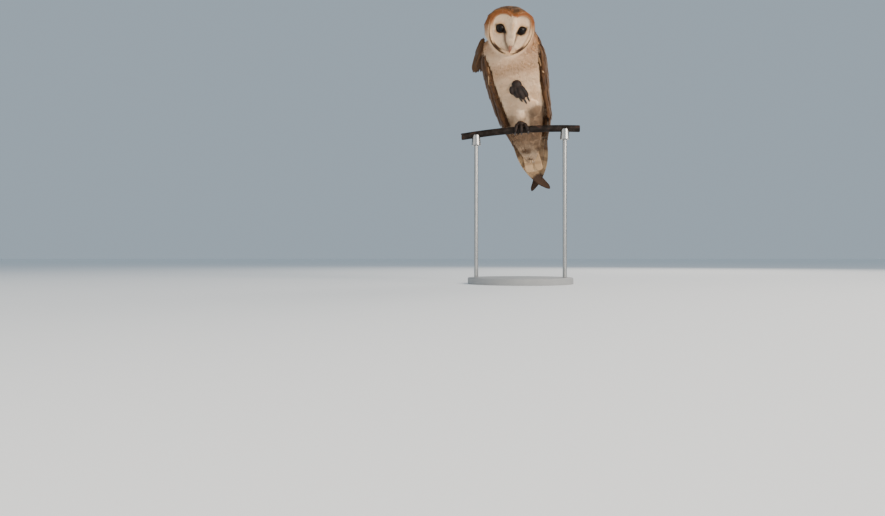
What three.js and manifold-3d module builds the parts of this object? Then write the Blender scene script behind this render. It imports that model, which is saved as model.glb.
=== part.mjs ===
// A life-size barn owl standing on one foot on a cut length of bent iron rod, on a plain display stand.
// Millimetres, +Z up. The origin is the middle of the base's underside. The bird faces -Y, its right at -X.
import * as THREE from "three";
import { ParametricGeometry } from "three/addons/geometries/ParametricGeometry.js";
import { mergeVertices } from "three/addons/utils/BufferGeometryUtils.js";
import Module from "manifold-3d";

const wasm = await Module();
wasm.setup();

// ---- driving dimensions ----

const GAP = 0.3; // clearance between touching solids
const DEG = Math.PI / 180;
const FLATNESS = 0.08; // how far a merged facet may leave the curve that it stands for

// How many facets each kind of piece has round it and along it.
const FACETS = {
  trunk: [24, 15], tail: [14, 7], wing: [16, 16], head: [28, 12], disc: [16, 6], eye: [14, 8], bill: [10, 8],
  ruffle: [12, 8], thigh: [12, 7], shank: [12, 6], pad: [12, 7],
  toe: [7, 7], hangingToe: [7, 6], claw: [6, 5],
  base: 40, rod: 16, perch: [14, 12],
};

const STAND = {
  radius: 100, height: 12, chamfer: 2,
  rodRadius: 4, rodX: 84, collarRadius: 9, collarHeight: 10, collarTaper: 1.5, collarTop: 1,
};
const PERCH = { top: 300, radius: 6.5, half: 112, bend: 1100, crownX: 55 };

// The body's own frame: z runs along the back from the vent to the crown, and -y is the belly side.
const BODY = { leanForward: 18, leanToRight: 10.3, behindPerch: 40, besideFoot: 10.5, abovePerch: -7 };

// Each ring: height, middle across, half width, reach to the front, reach to the back.
const TRUNK_PLUMPNESS = 2.25; // 2 is an ellipse, and more is boxier
const TRUNK = [
  { at: -56, x: 3, half: 0, front: -5, back: 7 },
  { at: -50, x: 3, half: 11, front: -1, back: 9 },
  { at: -32, x: 2, half: 21, front: 6, back: 12 },
  { at: -8, x: 1, half: 31, front: 10, back: 19 },
  { at: 20, x: 0, half: 40, front: 19, back: 29 },
  { at: 52, x: 0, half: 48, front: 35, back: 37 },
  { at: 88, x: 0, half: 52, front: 46, back: 42 },
  { at: 122, x: 0, half: 55, front: 41, back: 45 },
  { at: 150, x: 0, half: 58, front: 27, back: 45 },
  { at: 172, x: 1, half: 57, front: 18, back: 42 },
  { at: 196, x: 3, half: 38, front: 4, back: 32 },
  { at: 202, x: 3, half: 0, front: -14, back: 14 },
];
const NECK_BASE = 146;

const HEAD = {
  x: 4, y: -16, z: 200, // place in the body's frame
  turn: 13, bow: 29, cock: 4.4, // turns in the room
  half: 49.5, crown: 40, jaw: 46, middle: 3, back: 46, backDrop: 4,
};
const FACE = {
  half: 40, top: 33, chin: 42, notch: 8, notchWidth: 0.36, // the heart-shaped rim
  front: -27, sweep: 15, chinBack: 6, browBack: 3, bowl: 9, // how deep it lies
  ridge: 9, ridgeBill: 5, ridgeWidth: 6.5, discDepth: 10, ruff: 6,
};
const RIDGE_CROWDING = 0.4; // draws the head's facets closer together along the face's ridge
const RIM_V = 0.5; // the share of the head's facets, from front to back, that lie on the face
const STEEPEST = 0.985; // keeps the rim inside the head's widest outline
const CUTTER = { reach: 1.4, front: -90 }; // reaches past the head, so that only its back face cuts
const EYE = { x: 19.5, y: -10, z: 0, radius: 8.2 };
const BILL = {
  upper: [[0, -20, -8], [0, -30.5, -16], [0, -34, -27], [0, -30.5, -38]],
  upperRadii: [6.2, 5.6, 3.9, 0.6],
  lower: [[0, -19, -25], [0, -25, -29], [0, -28.8, -33.5]],
  lowerRadii: [4, 3, 0.8],
};

// The folded wing, right side. Each ring: height, front edge, back edge, outward bulge and thickness.
const WING = [
  { at: 176, front: [-42, 4], back: [-36, 16], bulge: 1, thick: 1 },
  { at: 166, front: [-50, -6], back: [-36, 24], bulge: 6, thick: 8 },
  { at: 150, front: [-53, -17], back: [-27, 39], bulge: 13, thick: 13 },
  { at: 130, front: [-51, -27], back: [-18, 48], bulge: 18, thick: 15 },
  { at: 92, front: [-46, -34], back: [-6, 51], bulge: 23, thick: 15 },
  { at: 58, front: [-42, -32], back: [0, 48], bulge: 23, thick: 14 },
  { at: 29, front: [-38, -26], back: [3, 43], bulge: 21, thick: 13 },
  { at: 6, front: [-34, -19], back: [5, 37], bulge: 18, thick: 11 },
  { at: -20, front: [-29, -4], back: [8, 28], bulge: 11, thick: 8 },
  { at: -45, front: [-25, 6], back: [10, 23], bulge: 5, thick: 5 },
  { at: -70, front: [-16, 11], back: [13, 20], bulge: 3, thick: 4 },
  { at: -88, front: [-4, 13], back: [14.5, 18], bulge: 2, thick: 3.2 },
  { at: -106, front: [10, 14], back: [27, 17], bulge: 1, thick: 2.4 },
  { at: -116, front: [20, 14.5], back: [36, 16.5], bulge: 0.5, thick: 1.8 },
  { at: -120, front: [25, 15], back: [37, 16], bulge: 0.2, thick: 1.2 },
];
// The left wing lies a layer over the right one, and tucks in behind the flank's feathers.
const LEFT_WING = { layer: 4.5, bulgeShare: 0.35, tuck: 6, tuckAt: 22, tuckSpan: 30 };
// The line that the wings mirror about drifts to the left between these heights, so that the tips cross.
const CROSSING = { from: 60, to: -119, start: 1, end: 11.5 };
const WING_CUTS = [
  { name: "coverts", above: 64, tilt: 16 },
  { name: "secondaries", above: -14, tilt: 20 },
  { name: "primaries", above: -200, tilt: 0 },
];

const TAIL_HALF = 20;
const TAIL_PLUMPNESS = 2.6;
const TAIL_ARCH = 2.5; // how much lower the outer tail feathers lie than the middle pair
const TAIL = [
  { at: -80, x: 5.5, y: 7, half: 12, thick: 1 },
  { at: -77, x: 5.2, y: 6.5, half: 18.5, thick: 1.8 },
  { at: -60, x: 4.2, y: 5, half: 19.5, thick: 2.6 },
  { at: -35, x: 2.6, y: 3.5, half: 20, thick: 4 },
  { at: -12, x: 1.2, y: 4, half: 19, thick: 7 },
  { at: -2, x: 1, y: 4, half: 10, thick: 5 },
];

// Loose shoulder feathers that stand off the right wing.
const RUFFLE = {
  path: [[-44, 27, 196], [-60, 31, 180], [-69, 32, 157], [-72, 31, 129]],
  sizes: [[7, 4], [13, 6], [17, 10], [15, 9.5]],
};

// The standing thigh and shank are in the foot's frame, the tucked thigh in the body's.
const LEG = {
  thigh: { path: [[7, -7, 80], [5, -14, 58], [1.5, -3, 27]], radii: [13, 18, 12] },
  shank: { path: [[1, -3, 40], [0.5, 0, 25], [0, 0.8, 12]], radii: [11.5, 9.6, 7.4] },
  tuckedThigh: { path: [[30, -12, 40], [20, -24, 52], [8, -39, 76]], radii: [15, 16, 10] },
  pad: { x: 1, height: 5.4, half: 8, depth: 7.5 },
};

// Toes of the standing foot: where each leaves the pad, which way it points and how far it wraps the rod.
const TOES = [
  { name: "inner", x: -5.5, splay: -4, from: 84, to: -42, claw: 62 },
  { name: "middle", x: 1.5, splay: 1, from: 84, to: -50, claw: 62 },
  { name: "outer", x: 8, splay: 7, from: 82, to: -30, claw: 58 },
  { name: "hind", x: -1, splay: -2, from: 98, to: 205, claw: -60 },
];
const TOE = { radius: 3.1, tipRadius: 2.5, knuckle: 1.5, clawRadius: 2, clawTip: 0.35, clawHook: 1.6 };

// The drawn-up left foot: its toes hang closed against the belly from a fist, and curl in.
const FIST = { x: -3, y: -49, z: 98, lean: 20, radius: 10, behind: 3, toeRadii: [4.6, 4.6, 4.2, 3] };
const FIST_TOES = [
  { name: "inner", x: -5.5, drop: 23, out: 6, curl: 5 },
  { name: "middle", x: -0.5, drop: 28, out: 9, curl: 6 },
  { name: "outer", x: 5.5, drop: 25, out: 6, curl: 5 },
  { name: "hind", x: -10.5, drop: 14, out: 4, curl: 4 },
];

const COLOURS = {
  gold: 0xb98a55, white: 0xe6ddcf, face: 0xe9e2d6, eye: 0x120c09, bill: 0xd9c3b0, brown: 0x8a5a33,
  barred: 0xd8c7ad, toe: 0x6a5a50, claw: 0x1d1a18, iron: 0x3a322d, standGrey: 0x55575a, steel: 0x9c9ea0,
};

// ---- helpers ----

const vector = (p) => new THREE.Vector3(...p);

// A soft step from 0 at one value to 1 at another, either way round.
function ease(none, full, value) {
  const t = THREE.MathUtils.clamp((value - none) / (full - none), 0, 1);
  return t * t * (3 - 2 * t);
}

// A closed three.js geometry as a solid: vertices merged, collapsed triangles dropped, faces turned outwards.
function solid(geometry) {
  const bare = geometry.clone();
  bare.deleteAttribute("normal");
  bare.deleteAttribute("uv");
  const merged = mergeVertices(bare, 1e-3);
  const corners = [];
  const index = merged.index.array;
  for (let i = 0; i < index.length; i += 3) {
    const [a, b, c] = index.slice(i, i + 3);
    if (a !== b && b !== c && c !== a) corners.push(a, b, c);
  }
  const build = (triVerts) => new wasm.Manifold(new wasm.Mesh({
    numProp: 3, vertProperties: merged.attributes.position.array, triVerts: new Uint32Array(triVerts),
  }));
  const made = build(corners);
  if (made.volume() > 0) return made;
  for (let i = 0; i < corners.length; i += 3) [corners[i], corners[i + 1]] = [corners[i + 1], corners[i]];
  return build(corners);
}

// Keeps the largest body of a cut solid, and drops the crumbs.
function largest(cut) {
  return cut.decompose().reduce((a, b) => (a.volume() > b.volume() ? a : b));
}

function geometryOf(manifold) {
  const { numProp, numVert, vertProperties, triVerts } = manifold.simplify(FLATNESS).getMesh();
  const places = new Float32Array(numVert * 3);
  for (let i = 0; i < numVert; i++) places.set(vertProperties.subarray(i * numProp, i * numProp + 3), i * 3);
  return new THREE.BufferGeometry()
    .setAttribute("position", new THREE.BufferAttribute(places, 3))
    .setIndex(new THREE.BufferAttribute(new Uint32Array(triVerts), 1));
}

// A smooth value of the rings' numbers at v from 0 to 1, by a curve through every ring.
function along(rings, pick, v) {
  const place = v * (rings.length - 1);
  const i = Math.min(Math.floor(place), rings.length - 2);
  const at = (k) => pick(rings[THREE.MathUtils.clamp(k, 0, rings.length - 1)]);
  const [a, b, c, d] = [at(i - 1), at(i), at(i + 1), at(i + 2)];
  const t = place - i;
  return b + 0.5 * t * (c - a + t * (2 * a - 5 * b + 4 * c - d + t * (3 * (b - c) + d - a)));
}

// The point at an angle round a plump oval.
function onOval(angle, half, deep, power, target) {
  const [s, c] = [Math.sin(angle), Math.cos(angle)];
  const plump = (k) => Math.sign(k) * Math.abs(k) ** (2 / power);
  return target.set(half * plump(s), -deep * plump(c), 0);
}

// A round or oval limb along a path, closed and rounded at both ends. sizes are [across, deep] along it.
function limb({ path, sizes, side = [1, 0, 0], facets, blunt = 8, grow = 0 }) {
  const curve = new THREE.CatmullRomCurve3(path.map(vector));
  const [out, up] = [new THREE.Vector3(), new THREE.Vector3()];
  const shape = (u, v, target) => {
    const tangent = curve.getTangent(v);
    out.copy(vector(side)).addScaledVector(tangent, -vector(side).dot(tangent)).normalize();
    up.crossVectors(tangent, out);
    const round = Math.sqrt(Math.max(0, 1 - Math.abs(2 * v - 1) ** blunt));
    const [across, deep] = [0, 1].map((k) => (along(sizes, (s) => s[k], v) + grow) * round);
    const angle = 2 * Math.PI * u;
    target.copy(curve.getPoint(v)).addScaledVector(tangent, grow * (2 * v - 1));
    target.addScaledVector(out, across * Math.cos(angle)).addScaledVector(up, deep * Math.sin(angle));
  };
  return solid(new ParametricGeometry(shape, ...facets));
}

const both = (radii) => radii.map((r) => [r, r]);

// ---- the frames that the pieces sit in ----

const root = new THREE.Group();

const bird = new THREE.Group();
bird.position.set(BODY.besideFoot, BODY.behindPerch, PERCH.top + BODY.abovePerch);
bird.rotation.set(BODY.leanForward * DEG, -BODY.leanToRight * DEG, 0, "YXZ");
bird.updateMatrixWorld(true);

const head = new THREE.Group();
head.position.copy(bird.localToWorld(new THREE.Vector3(HEAD.x, HEAD.y, HEAD.z)));
head.rotation.set(HEAD.bow * DEG, HEAD.cock * DEG, HEAD.turn * DEG, "YZX");
head.updateMatrixWorld(true);

const foot = new THREE.Group(); // on top of the rod, under the standing leg
foot.position.set(0, 0, PERCH.top);
foot.updateMatrixWorld(true);

root.add(bird, head, foot);

// A solid made in one group's frame, seen from another's.
function moved(made, from, to) {
  return made.transform(to.matrixWorld.clone().invert().multiply(from.matrixWorld).elements);
}

function place(group, name, made, colour, roughness = 0.85, metalness = 0) {
  const finish = new THREE.MeshStandardMaterial({ color: colour, roughness, metalness });
  const mesh = new THREE.Mesh(geometryOf(made), finish);
  mesh.name = name;
  group.add(mesh);
}

// ---- stand and perch ----

class RodArc extends THREE.Curve {
  constructor(half) {
    super();
    this.half = half;
  }
  getPoint(t, target = new THREE.Vector3()) {
    const x = this.half * (2 * t - 1);
    return target.set(x, 0, rodAxisHeight(x));
  }
}

function rodAxisHeight(x) {
  const drop = (at) => PERCH.bend - Math.sqrt(PERCH.bend ** 2 - (at - PERCH.crownX) ** 2);
  return PERCH.top - PERCH.radius + drop(0) - drop(x);
}

function perchRod(grow = 0) {
  const radius = PERCH.radius + grow;
  const [sides, steps] = FACETS.perch;
  const section = new THREE.Shape(new THREE.EllipseCurve(0, 0, radius, radius).getPoints(sides));
  return solid(new THREE.ExtrudeGeometry(section, { steps, extrudePath: new RodArc(PERCH.half + grow) }));
}

function standBase() {
  const { radius, height, chamfer } = STAND;
  const outline = [[0, 0], [radius, 0], [radius, height - chamfer], [radius - chamfer, height], [0, height]];
  const profile = outline.map((p) => new THREE.Vector2(...p));
  return solid(new THREE.LatheGeometry(profile, FACETS.base).rotateX(Math.PI / 2));
}

function standRod(x, perch) {
  const length = rodAxisHeight(x) - STAND.height - GAP;
  const rod = new THREE.CylinderGeometry(STAND.rodRadius, STAND.rodRadius, length, FACETS.rod);
  rod.rotateX(Math.PI / 2).translate(x, 0, STAND.height + GAP + length / 2);
  return largest(solid(rod).subtract(perch));
}

// A sleeve round the rod's top with a saddle that the perch lies in.
function standCollar(x, perch) {
  const top = rodAxisHeight(x) - STAND.collarTop;
  const upper = STAND.collarRadius - STAND.collarTaper;
  const sleeve = new THREE.CylinderGeometry(upper, STAND.collarRadius, 2 * STAND.collarHeight, FACETS.rod);
  sleeve.rotateX(Math.PI / 2).translate(x, 0, top - STAND.collarHeight);
  const bore = STAND.rodRadius + GAP;
  const clear = new THREE.CylinderGeometry(bore, bore, 10 * STAND.collarHeight, FACETS.rod);
  clear.rotateX(Math.PI / 2).translate(x, 0, top);
  return largest(solid(sleeve).subtract(perch).subtract(solid(clear)));
}

// ---- trunk, neck and tail ----

function trunkShape(grow = 0) {
  const shape = (u, v, target) => {
    const ring = (pick) => along(TRUNK, pick, v);
    const closed = v === 0 || v === 1;
    const half = closed ? 0 : ring((r) => r.half) + grow;
    const deep = closed ? 0 : ring((r) => (r.front + r.back) / 2) + grow;
    onOval(2 * Math.PI * u, half, deep, TRUNK_PLUMPNESS, target);
    target.x += ring((r) => r.x);
    target.y += ring((r) => (r.back - r.front) / 2);
    target.z = ring((r) => r.at) + grow * (2 * v - 1);
  };
  return solid(new ParametricGeometry(shape, ...FACETS.trunk));
}

function tailShape(grow = 0) {
  const shape = (u, v, target) => {
    const ring = (pick) => along(TAIL, pick, v);
    const closed = v === 0 || v === 1;
    const [half, thick] = closed ? [0, 0] : [ring((r) => r.half) + grow, ring((r) => r.thick) + grow];
    onOval(2 * Math.PI * u, half, thick, TAIL_PLUMPNESS, target);
    const arch = TAIL_ARCH * (target.x / TAIL_HALF) ** 2;
    target.x += ring((r) => r.x);
    target.y += ring((r) => r.y) - arch;
    target.z = ring((r) => r.at) + grow * (2 * v - 1);
  };
  return solid(new ParametricGeometry(shape, ...FACETS.tail));
}

// ---- wings ----

// The wing's section at a share v of its length: its height, edges, bulge and thickness, on the right side.
function wingSection(left, v) {
  const ring = (pick) => along(WING, pick, v);
  const at = ring((r) => r.at);
  const tuck = left ? LEFT_WING.tuck * Math.exp(-(((at - LEFT_WING.tuckAt) / LEFT_WING.tuckSpan) ** 2)) : 0;
  const layer = left ? LEFT_WING.layer * ease(150, 40, at) : 0;
  return {
    at,
    front: new THREE.Vector2(ring((r) => r.front[0]) - tuck, ring((r) => r.front[1]) + tuck),
    back: new THREE.Vector2(ring((r) => r.back[0]), ring((r) => r.back[1]) + layer),
    bulge: ring((r) => r.bulge) + layer * LEFT_WING.bulgeShare,
    thick: ring((r) => r.thick),
    shift: left ? layer * ease(20, -40, at) : 0,
  };
}

function wingShape(side, grow = 0) {
  const left = side > 0;
  const shape = (u, v, target) => {
    const { at, front, back, bulge, thick, shift } = wingSection(left, v);
    const closed = v === 0 || v === 1;
    const chord = back.clone().sub(front);
    const normal = new THREE.Vector2(-chord.y, chord.x).normalize();
    const outside = u < 0.5;
    const k = outside ? 2 * u : 2 - 2 * u; // the share of the way from the front edge to the back
    const half = closed ? 0 : (thick / 2 + grow) * (1 - Math.abs(2 * k - 1) ** 6) ** 0.5;
    const spread = closed ? 0.5 : k * (1 + (2 * grow) / chord.length()) - grow / chord.length();
    const off = closed ? 0 : bulge * 4 * k * (1 - k) + (outside ? half : -half);
    const x = front.x + chord.x * spread + normal.x * off;
    const y = front.y + chord.y * spread + normal.y * off;
    target.set(left ? 2 * mirrorLine(at) - x : x, y + shift, at - grow * (2 * v - 1));
  };
  return solid(new ParametricGeometry(shape, ...FACETS.wing));
}

function mirrorLine(height) {
  const share = THREE.MathUtils.clamp((CROSSING.from - height) / (CROSSING.from - CROSSING.to), 0, 1);
  return THREE.MathUtils.lerp(CROSSING.start, CROSSING.end, share);
}

// Parts a wing with slanting cuts, from the shoulder down.
function wingPieces(whole) {
  const pieces = [];
  let rest = whole;
  for (const { name, above, tilt } of WING_CUTS) {
    const normal = [0, Math.sin(tilt * DEG), Math.cos(tilt * DEG)];
    pieces.push([name, largest(rest.trimByPlane(normal, above))]);
    rest = rest.trimByPlane(normal.map((n) => -n), GAP - above);
    if (rest.isEmpty()) break;
  }
  return pieces;
}

// ---- head ----

// The heart-shaped rim of the face at an angle from the top, seen from the front.
function rimAt(angle) {
  const [s, c] = [Math.sin(angle), Math.cos(angle)];
  const power = c > 0 ? 3 : 2.05;
  const tall = c > 0 ? FACE.top : FACE.chin;
  const radius = (Math.abs(s / FACE.half) ** power + Math.abs(c / tall) ** power) ** (-1 / power);
  const fromTop = Math.atan2(s, c);
  const notch = FACE.notch * Math.exp(-((fromTop / FACE.notchWidth) ** 2));
  return new THREE.Vector2(s, c).multiplyScalar(radius - notch);
}

// How far back the surface that the rim lies on is.
function maskDepth(x, z) {
  return FACE.front + FACE.sweep * (Math.abs(x) / FACE.half) ** 1.7
    + FACE.chinBack * (Math.max(0, -z) / FACE.chin) ** 2 + FACE.browBack * (Math.max(0, z) / FACE.top) ** 2;
}

function faceDepth(x, z, t) {
  const width = FACE.ridgeWidth + 1.5 * ease(20, -20, z);
  const ridge = FACE.ridge + FACE.ridgeBill * ease(25, -12, z) - 12 * ease(-20, -38, z);
  return maskDepth(x, z) + FACE.bowl * (1 - t ** 3) - ridge * Math.exp(-((x / width) ** 2)) * (1 - t ** 6);
}

// The head from the middle of the face (v 0) over the rim (v at RIM_V) to the nape (v 1).
function headShape(grow = 0) {
  const shape = (u, v, target) => {
    const angle = 2 * Math.PI * u - RIDGE_CROWDING * Math.sin(4 * Math.PI * u);
    const rim = rimAt(angle);
    if (v <= RIM_V) {
      const t = v / RIM_V;
      const [x, z] = [rim.x * t, rim.y * t];
      const wider = 1 + (t * grow) / FACE.half;
      target.set(x * wider, faceDepth(x, z, t) - grow, z * wider);
      return;
    }
    const [s, c] = [Math.sin(angle), Math.cos(angle)];
    const tall = c > 0 ? HEAD.crown : HEAD.jaw;
    const widest = ((s / HEAD.half) ** 2 + (c / tall) ** 2) ** -0.5;
    const start = -Math.acos(Math.min(STEEPEST, rim.length() / widest));
    const depth = (HEAD.middle - maskDepth(rim.x, rim.y)) / Math.sin(-start);
    const bend = THREE.MathUtils.lerp(start, Math.PI / 2, (v - RIM_V) / (1 - RIM_V));
    const radius = Math.max(0, Math.cos(bend)) * widest;
    const reach = bend < 0 ? depth : HEAD.back - HEAD.middle;
    const swell = v === 1 ? 0 : grow;
    const y = HEAD.middle + Math.sin(bend) * (reach + grow);
    target.set(s * (radius + swell), y, c * (radius + swell) - HEAD.backDrop * ease(0, Math.PI / 2, bend));
  };
  return solid(new ParametricGeometry(shape, ...FACETS.head));
}

// The facial disc with its ruff is parted from the skull by a surface that follows the face behind it.
function discCutter(grow = 0) {
  const shape = (u, v, target) => {
    const rim = rimAt(2 * Math.PI * u);
    const reach = CUTTER.reach * (v < 0.5 ? v * 2 : 2 - 2 * v);
    const [x, z] = [rim.x * reach, rim.y * reach];
    const back = maskDepth(x, z) + FACE.ruff + FACE.discDepth * Math.max(0, 1 - reach ** 2);
    target.set(x, v < 0.5 ? CUTTER.front : back + grow, z);
  };
  return solid(new ParametricGeometry(shape, ...FACETS.disc));
}

function eyeShape(side, grow = 0) {
  const ball = new THREE.SphereGeometry(EYE.radius + grow, ...FACETS.eye).rotateX(Math.PI / 2);
  return solid(ball.translate(side * EYE.x, EYE.y, EYE.z));
}

function billShape(part, grow = 0) {
  const sizes = both(BILL[part + "Radii"]);
  return limb({ path: BILL[part], sizes, facets: FACETS.bill, blunt: 14, grow });
}

// ---- legs and feet ----

// A toe of the standing foot, wrapping the rod at a fixed distance from its axis, and its claw.
function grippingToe({ x, splay, from, to, claw }, part, grow = 0) {
  const reach = PERCH.radius + GAP + TOE.radius;
  const around = (angle, away, swing) => {
    const shift = x + splay * swing;
    const height = rodAxisHeight(shift) - PERCH.top + Math.sin(angle * DEG) * away;
    return [shift, -Math.cos(angle * DEG) * away, height];
  };
  const steps = [0, 0.33, 0.66, 1];
  if (part === "toe") {
    const knuckle = (s) => (s === 0 ? TOE.knuckle : 0);
    const path = steps.map((s) => around(THREE.MathUtils.lerp(from, to, s), reach + knuckle(s), s));
    const sizes = both([TOE.radius, TOE.radius * 1.06, TOE.radius, TOE.tipRadius]);
    return limb({ path, sizes, facets: FACETS.toe, blunt: 10, grow });
  }
  const path = steps.map((s) => around(to - claw * (s - 0.12), reach - TOE.clawHook * s ** 2, 1 + 0.1 * s));
  const sizes = both([TOE.clawRadius, TOE.clawRadius * 0.9, TOE.clawRadius * 0.6, TOE.clawTip]);
  return limb({ path, sizes, facets: FACETS.claw, blunt: 30, grow });
}

// A toe of the drawn-up foot, hanging from the fist and curling in to the belly, and its claw.
function hangingToe({ x, drop, out, curl }, part, grow = 0) {
  const lean = Math.tan(FIST.lean * DEG);
  const at = (down, ahead, wide) => [FIST.x + x * wide + lean * down, FIST.y - ahead, FIST.z - down];
  if (part === "toe") {
    const path = [
      at(0, 0, 0.7), at(drop * 0.35, out * 0.9, 1.2),
      at(drop * 0.75, out, 1.35), at(drop, out - curl * 0.5, 1.25),
    ];
    return limb({ path, sizes: both(FIST.toeRadii), facets: FACETS.hangingToe, blunt: 10, grow });
  }
  const path = [
    at(drop - 1, out - curl * 0.3, 1.25), at(drop + 4, out - curl * 0.5, 1.2),
    at(drop + 7.5, out - curl * 1.2, 1.12), at(drop + 9, out - curl * 2.2, 1.05),
  ];
  const sizes = both([TOE.clawRadius, TOE.clawRadius * 0.9, TOE.clawRadius * 0.6, TOE.clawTip]);
  return limb({ path, sizes, facets: FACETS.claw, blunt: 30, grow });
}

// ---- assembly ----

const perch = perchRod();
const perchClear = perchRod(GAP);
place(root, "stand_base", standBase(), COLOURS.standGrey, 0.6);
for (const [name, x] of [["left", STAND.rodX], ["right", -STAND.rodX]]) {
  place(root, "stand_rod_" + name, standRod(x, perchClear), COLOURS.steel, 0.35, 0.9);
  place(root, "stand_collar_" + name, standCollar(x, perchClear), COLOURS.steel, 0.35, 0.9);
}
place(root, "perch", perch, COLOURS.iron, 0.7, 0.4);

// Trunk, neck and thighs, in the body's frame.
const headClear = moved(headShape(GAP), head, bird);
const perchInBird = moved(perchClear, root, bird);
const torso = trunkShape().subtract(headClear).subtract(perchInBird);
const torsoClear = trunkShape(GAP);
place(bird, "trunk", largest(torso.trimByPlane([0, 0, -1], -NECK_BASE)), COLOURS.white);
place(bird, "neck", largest(torso.trimByPlane([0, 0, 1], NECK_BASE + GAP)), COLOURS.white);

const thigh = { path: LEG.thigh.path, sizes: both(LEG.thigh.radii), facets: FACETS.thigh, blunt: 4 };
const thighClear = limb({ ...thigh, grow: GAP });
const tucked = { ...thigh, path: LEG.tuckedThigh.path, sizes: both(LEG.tuckedThigh.radii) };
const tuckedClear = limb({ ...tucked, grow: GAP });
const thighInBird = moved(thighClear, foot, bird);
place(foot, "thigh_right", largest(limb(thigh).subtract(moved(torsoClear, bird, foot))), COLOURS.white);
place(bird, "thigh_left", largest(limb(tucked).subtract(torsoClear).subtract(thighInBird)), COLOURS.white);

// Tail and wings.
const tail = tailShape();
const tailClear = tailShape(GAP);
place(bird, "tail", largest(tail.subtract(torsoClear)), COLOURS.barred);
const bodyClear = torsoClear.add(tailClear).add(headClear);
const rightWing = wingShape(-1).subtract(bodyClear);
const leftWing = wingShape(1).subtract(bodyClear).subtract(wingShape(-1, 5 * GAP));
for (const [side, wing] of [["right", rightWing], ["left", leftWing]]) {
  for (const [name, piece] of wingPieces(largest(wing))) {
    place(bird, `wing_${side}_${name}`, piece, COLOURS.brown);
  }
}
const ruffle = limb({ ...RUFFLE, side: [0, 1, 0], facets: FACETS.ruffle }).subtract(wingShape(-1, GAP));
place(bird, "wing_right_ruffle", largest(ruffle.subtract(bodyClear)), COLOURS.brown);

// Head: skull, facial disc, eyes and bill, in the head's frame.
const eyesClear = eyeShape(-1, GAP).add(eyeShape(1, GAP));
const upperClear = billShape("upper", GAP);
const billClear = upperClear.add(billShape("lower", GAP));
const wholeHead = headShape().subtract(eyesClear).subtract(billClear);
place(head, "head", largest(wholeHead.subtract(discCutter(GAP))), COLOURS.gold);
place(head, "facial_disc", largest(wholeHead.intersect(discCutter())), COLOURS.face);
place(head, "eye_right", eyeShape(-1), COLOURS.eye, 0.1);
place(head, "eye_left", eyeShape(1), COLOURS.eye, 0.1);
place(head, "bill_upper", billShape("upper"), COLOURS.bill, 0.4);
place(head, "bill_lower", largest(billShape("lower").subtract(upperClear)), COLOURS.bill, 0.4);

// Standing foot: shank, pad, four toes and their claws, in the foot's frame.
function padShape(grow) {
  const { x, half, depth, height } = LEG.pad;
  const ball = new THREE.SphereGeometry(1, ...FACETS.pad).scale(half + grow, depth + grow, height + grow);
  return solid(ball.translate(x, 0, height * 0.9));
}

const perchInFoot = moved(perchClear, root, foot);
const flesh = moved(torsoClear.add(tuckedClear), bird, foot).add(thighClear);
const shank = { path: LEG.shank.path, sizes: both(LEG.shank.radii), facets: FACETS.shank };
const shankClear = limb({ ...shank, grow: GAP });
place(foot, "shank_right", largest(limb(shank).subtract(flesh).subtract(padShape(GAP))), COLOURS.white);
place(foot, "foot_right", largest(padShape(0).subtract(perchInFoot).subtract(flesh)), COLOURS.toe, 0.6);
let taken = padShape(GAP).add(shankClear).add(perchInFoot).add(flesh);
for (const toe of TOES) {
  const made = largest(grippingToe(toe, "toe").subtract(taken));
  place(foot, "toe_right_" + toe.name, made, COLOURS.toe, 0.6);
  taken = taken.add(grippingToe(toe, "toe", GAP));
  place(foot, "claw_right_" + toe.name, largest(grippingToe(toe, "claw").subtract(taken)), COLOURS.claw, 0.3);
  taken = taken.add(grippingToe(toe, "claw", GAP));
}

// Drawn-up foot, in the body's frame.
function fistShape(grow) {
  const ball = new THREE.SphereGeometry(FIST.radius + grow, ...FACETS.pad);
  return solid(ball.translate(FIST.x, FIST.y + FIST.behind, FIST.z));
}

const belly = torsoClear.add(thighInBird).add(tuckedClear);
place(bird, "foot_left", largest(fistShape(0).subtract(belly)), COLOURS.toe, 0.6);
let filled = belly.add(fistShape(GAP));
for (const toe of FIST_TOES) {
  const made = largest(hangingToe(toe, "toe").subtract(filled));
  place(bird, "toe_left_" + toe.name, made, COLOURS.toe, 0.6);
  filled = filled.add(hangingToe(toe, "toe", GAP));
  place(bird, "claw_left_" + toe.name, largest(hangingToe(toe, "claw").subtract(filled)), COLOURS.claw, 0.3);
  filled = filled.add(hangingToe(toe, "claw", GAP));
}

export default root;
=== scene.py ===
import math

import bmesh
import bpy
import numpy as np
from mathutils import Matrix, Vector
from mathutils.bvhtree import BVHTree


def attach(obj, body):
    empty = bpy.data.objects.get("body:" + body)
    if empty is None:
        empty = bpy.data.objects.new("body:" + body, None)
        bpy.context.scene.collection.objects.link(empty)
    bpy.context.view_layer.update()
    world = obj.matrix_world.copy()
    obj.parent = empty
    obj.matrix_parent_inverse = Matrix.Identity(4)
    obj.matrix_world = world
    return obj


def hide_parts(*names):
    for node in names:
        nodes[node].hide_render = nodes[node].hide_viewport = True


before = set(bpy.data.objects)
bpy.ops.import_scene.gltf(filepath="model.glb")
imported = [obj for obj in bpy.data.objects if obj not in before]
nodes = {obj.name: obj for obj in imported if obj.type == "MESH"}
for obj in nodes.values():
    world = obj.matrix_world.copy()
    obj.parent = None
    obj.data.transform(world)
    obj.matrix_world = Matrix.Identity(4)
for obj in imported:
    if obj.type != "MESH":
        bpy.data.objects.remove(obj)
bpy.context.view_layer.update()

mm = 0.001

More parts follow.
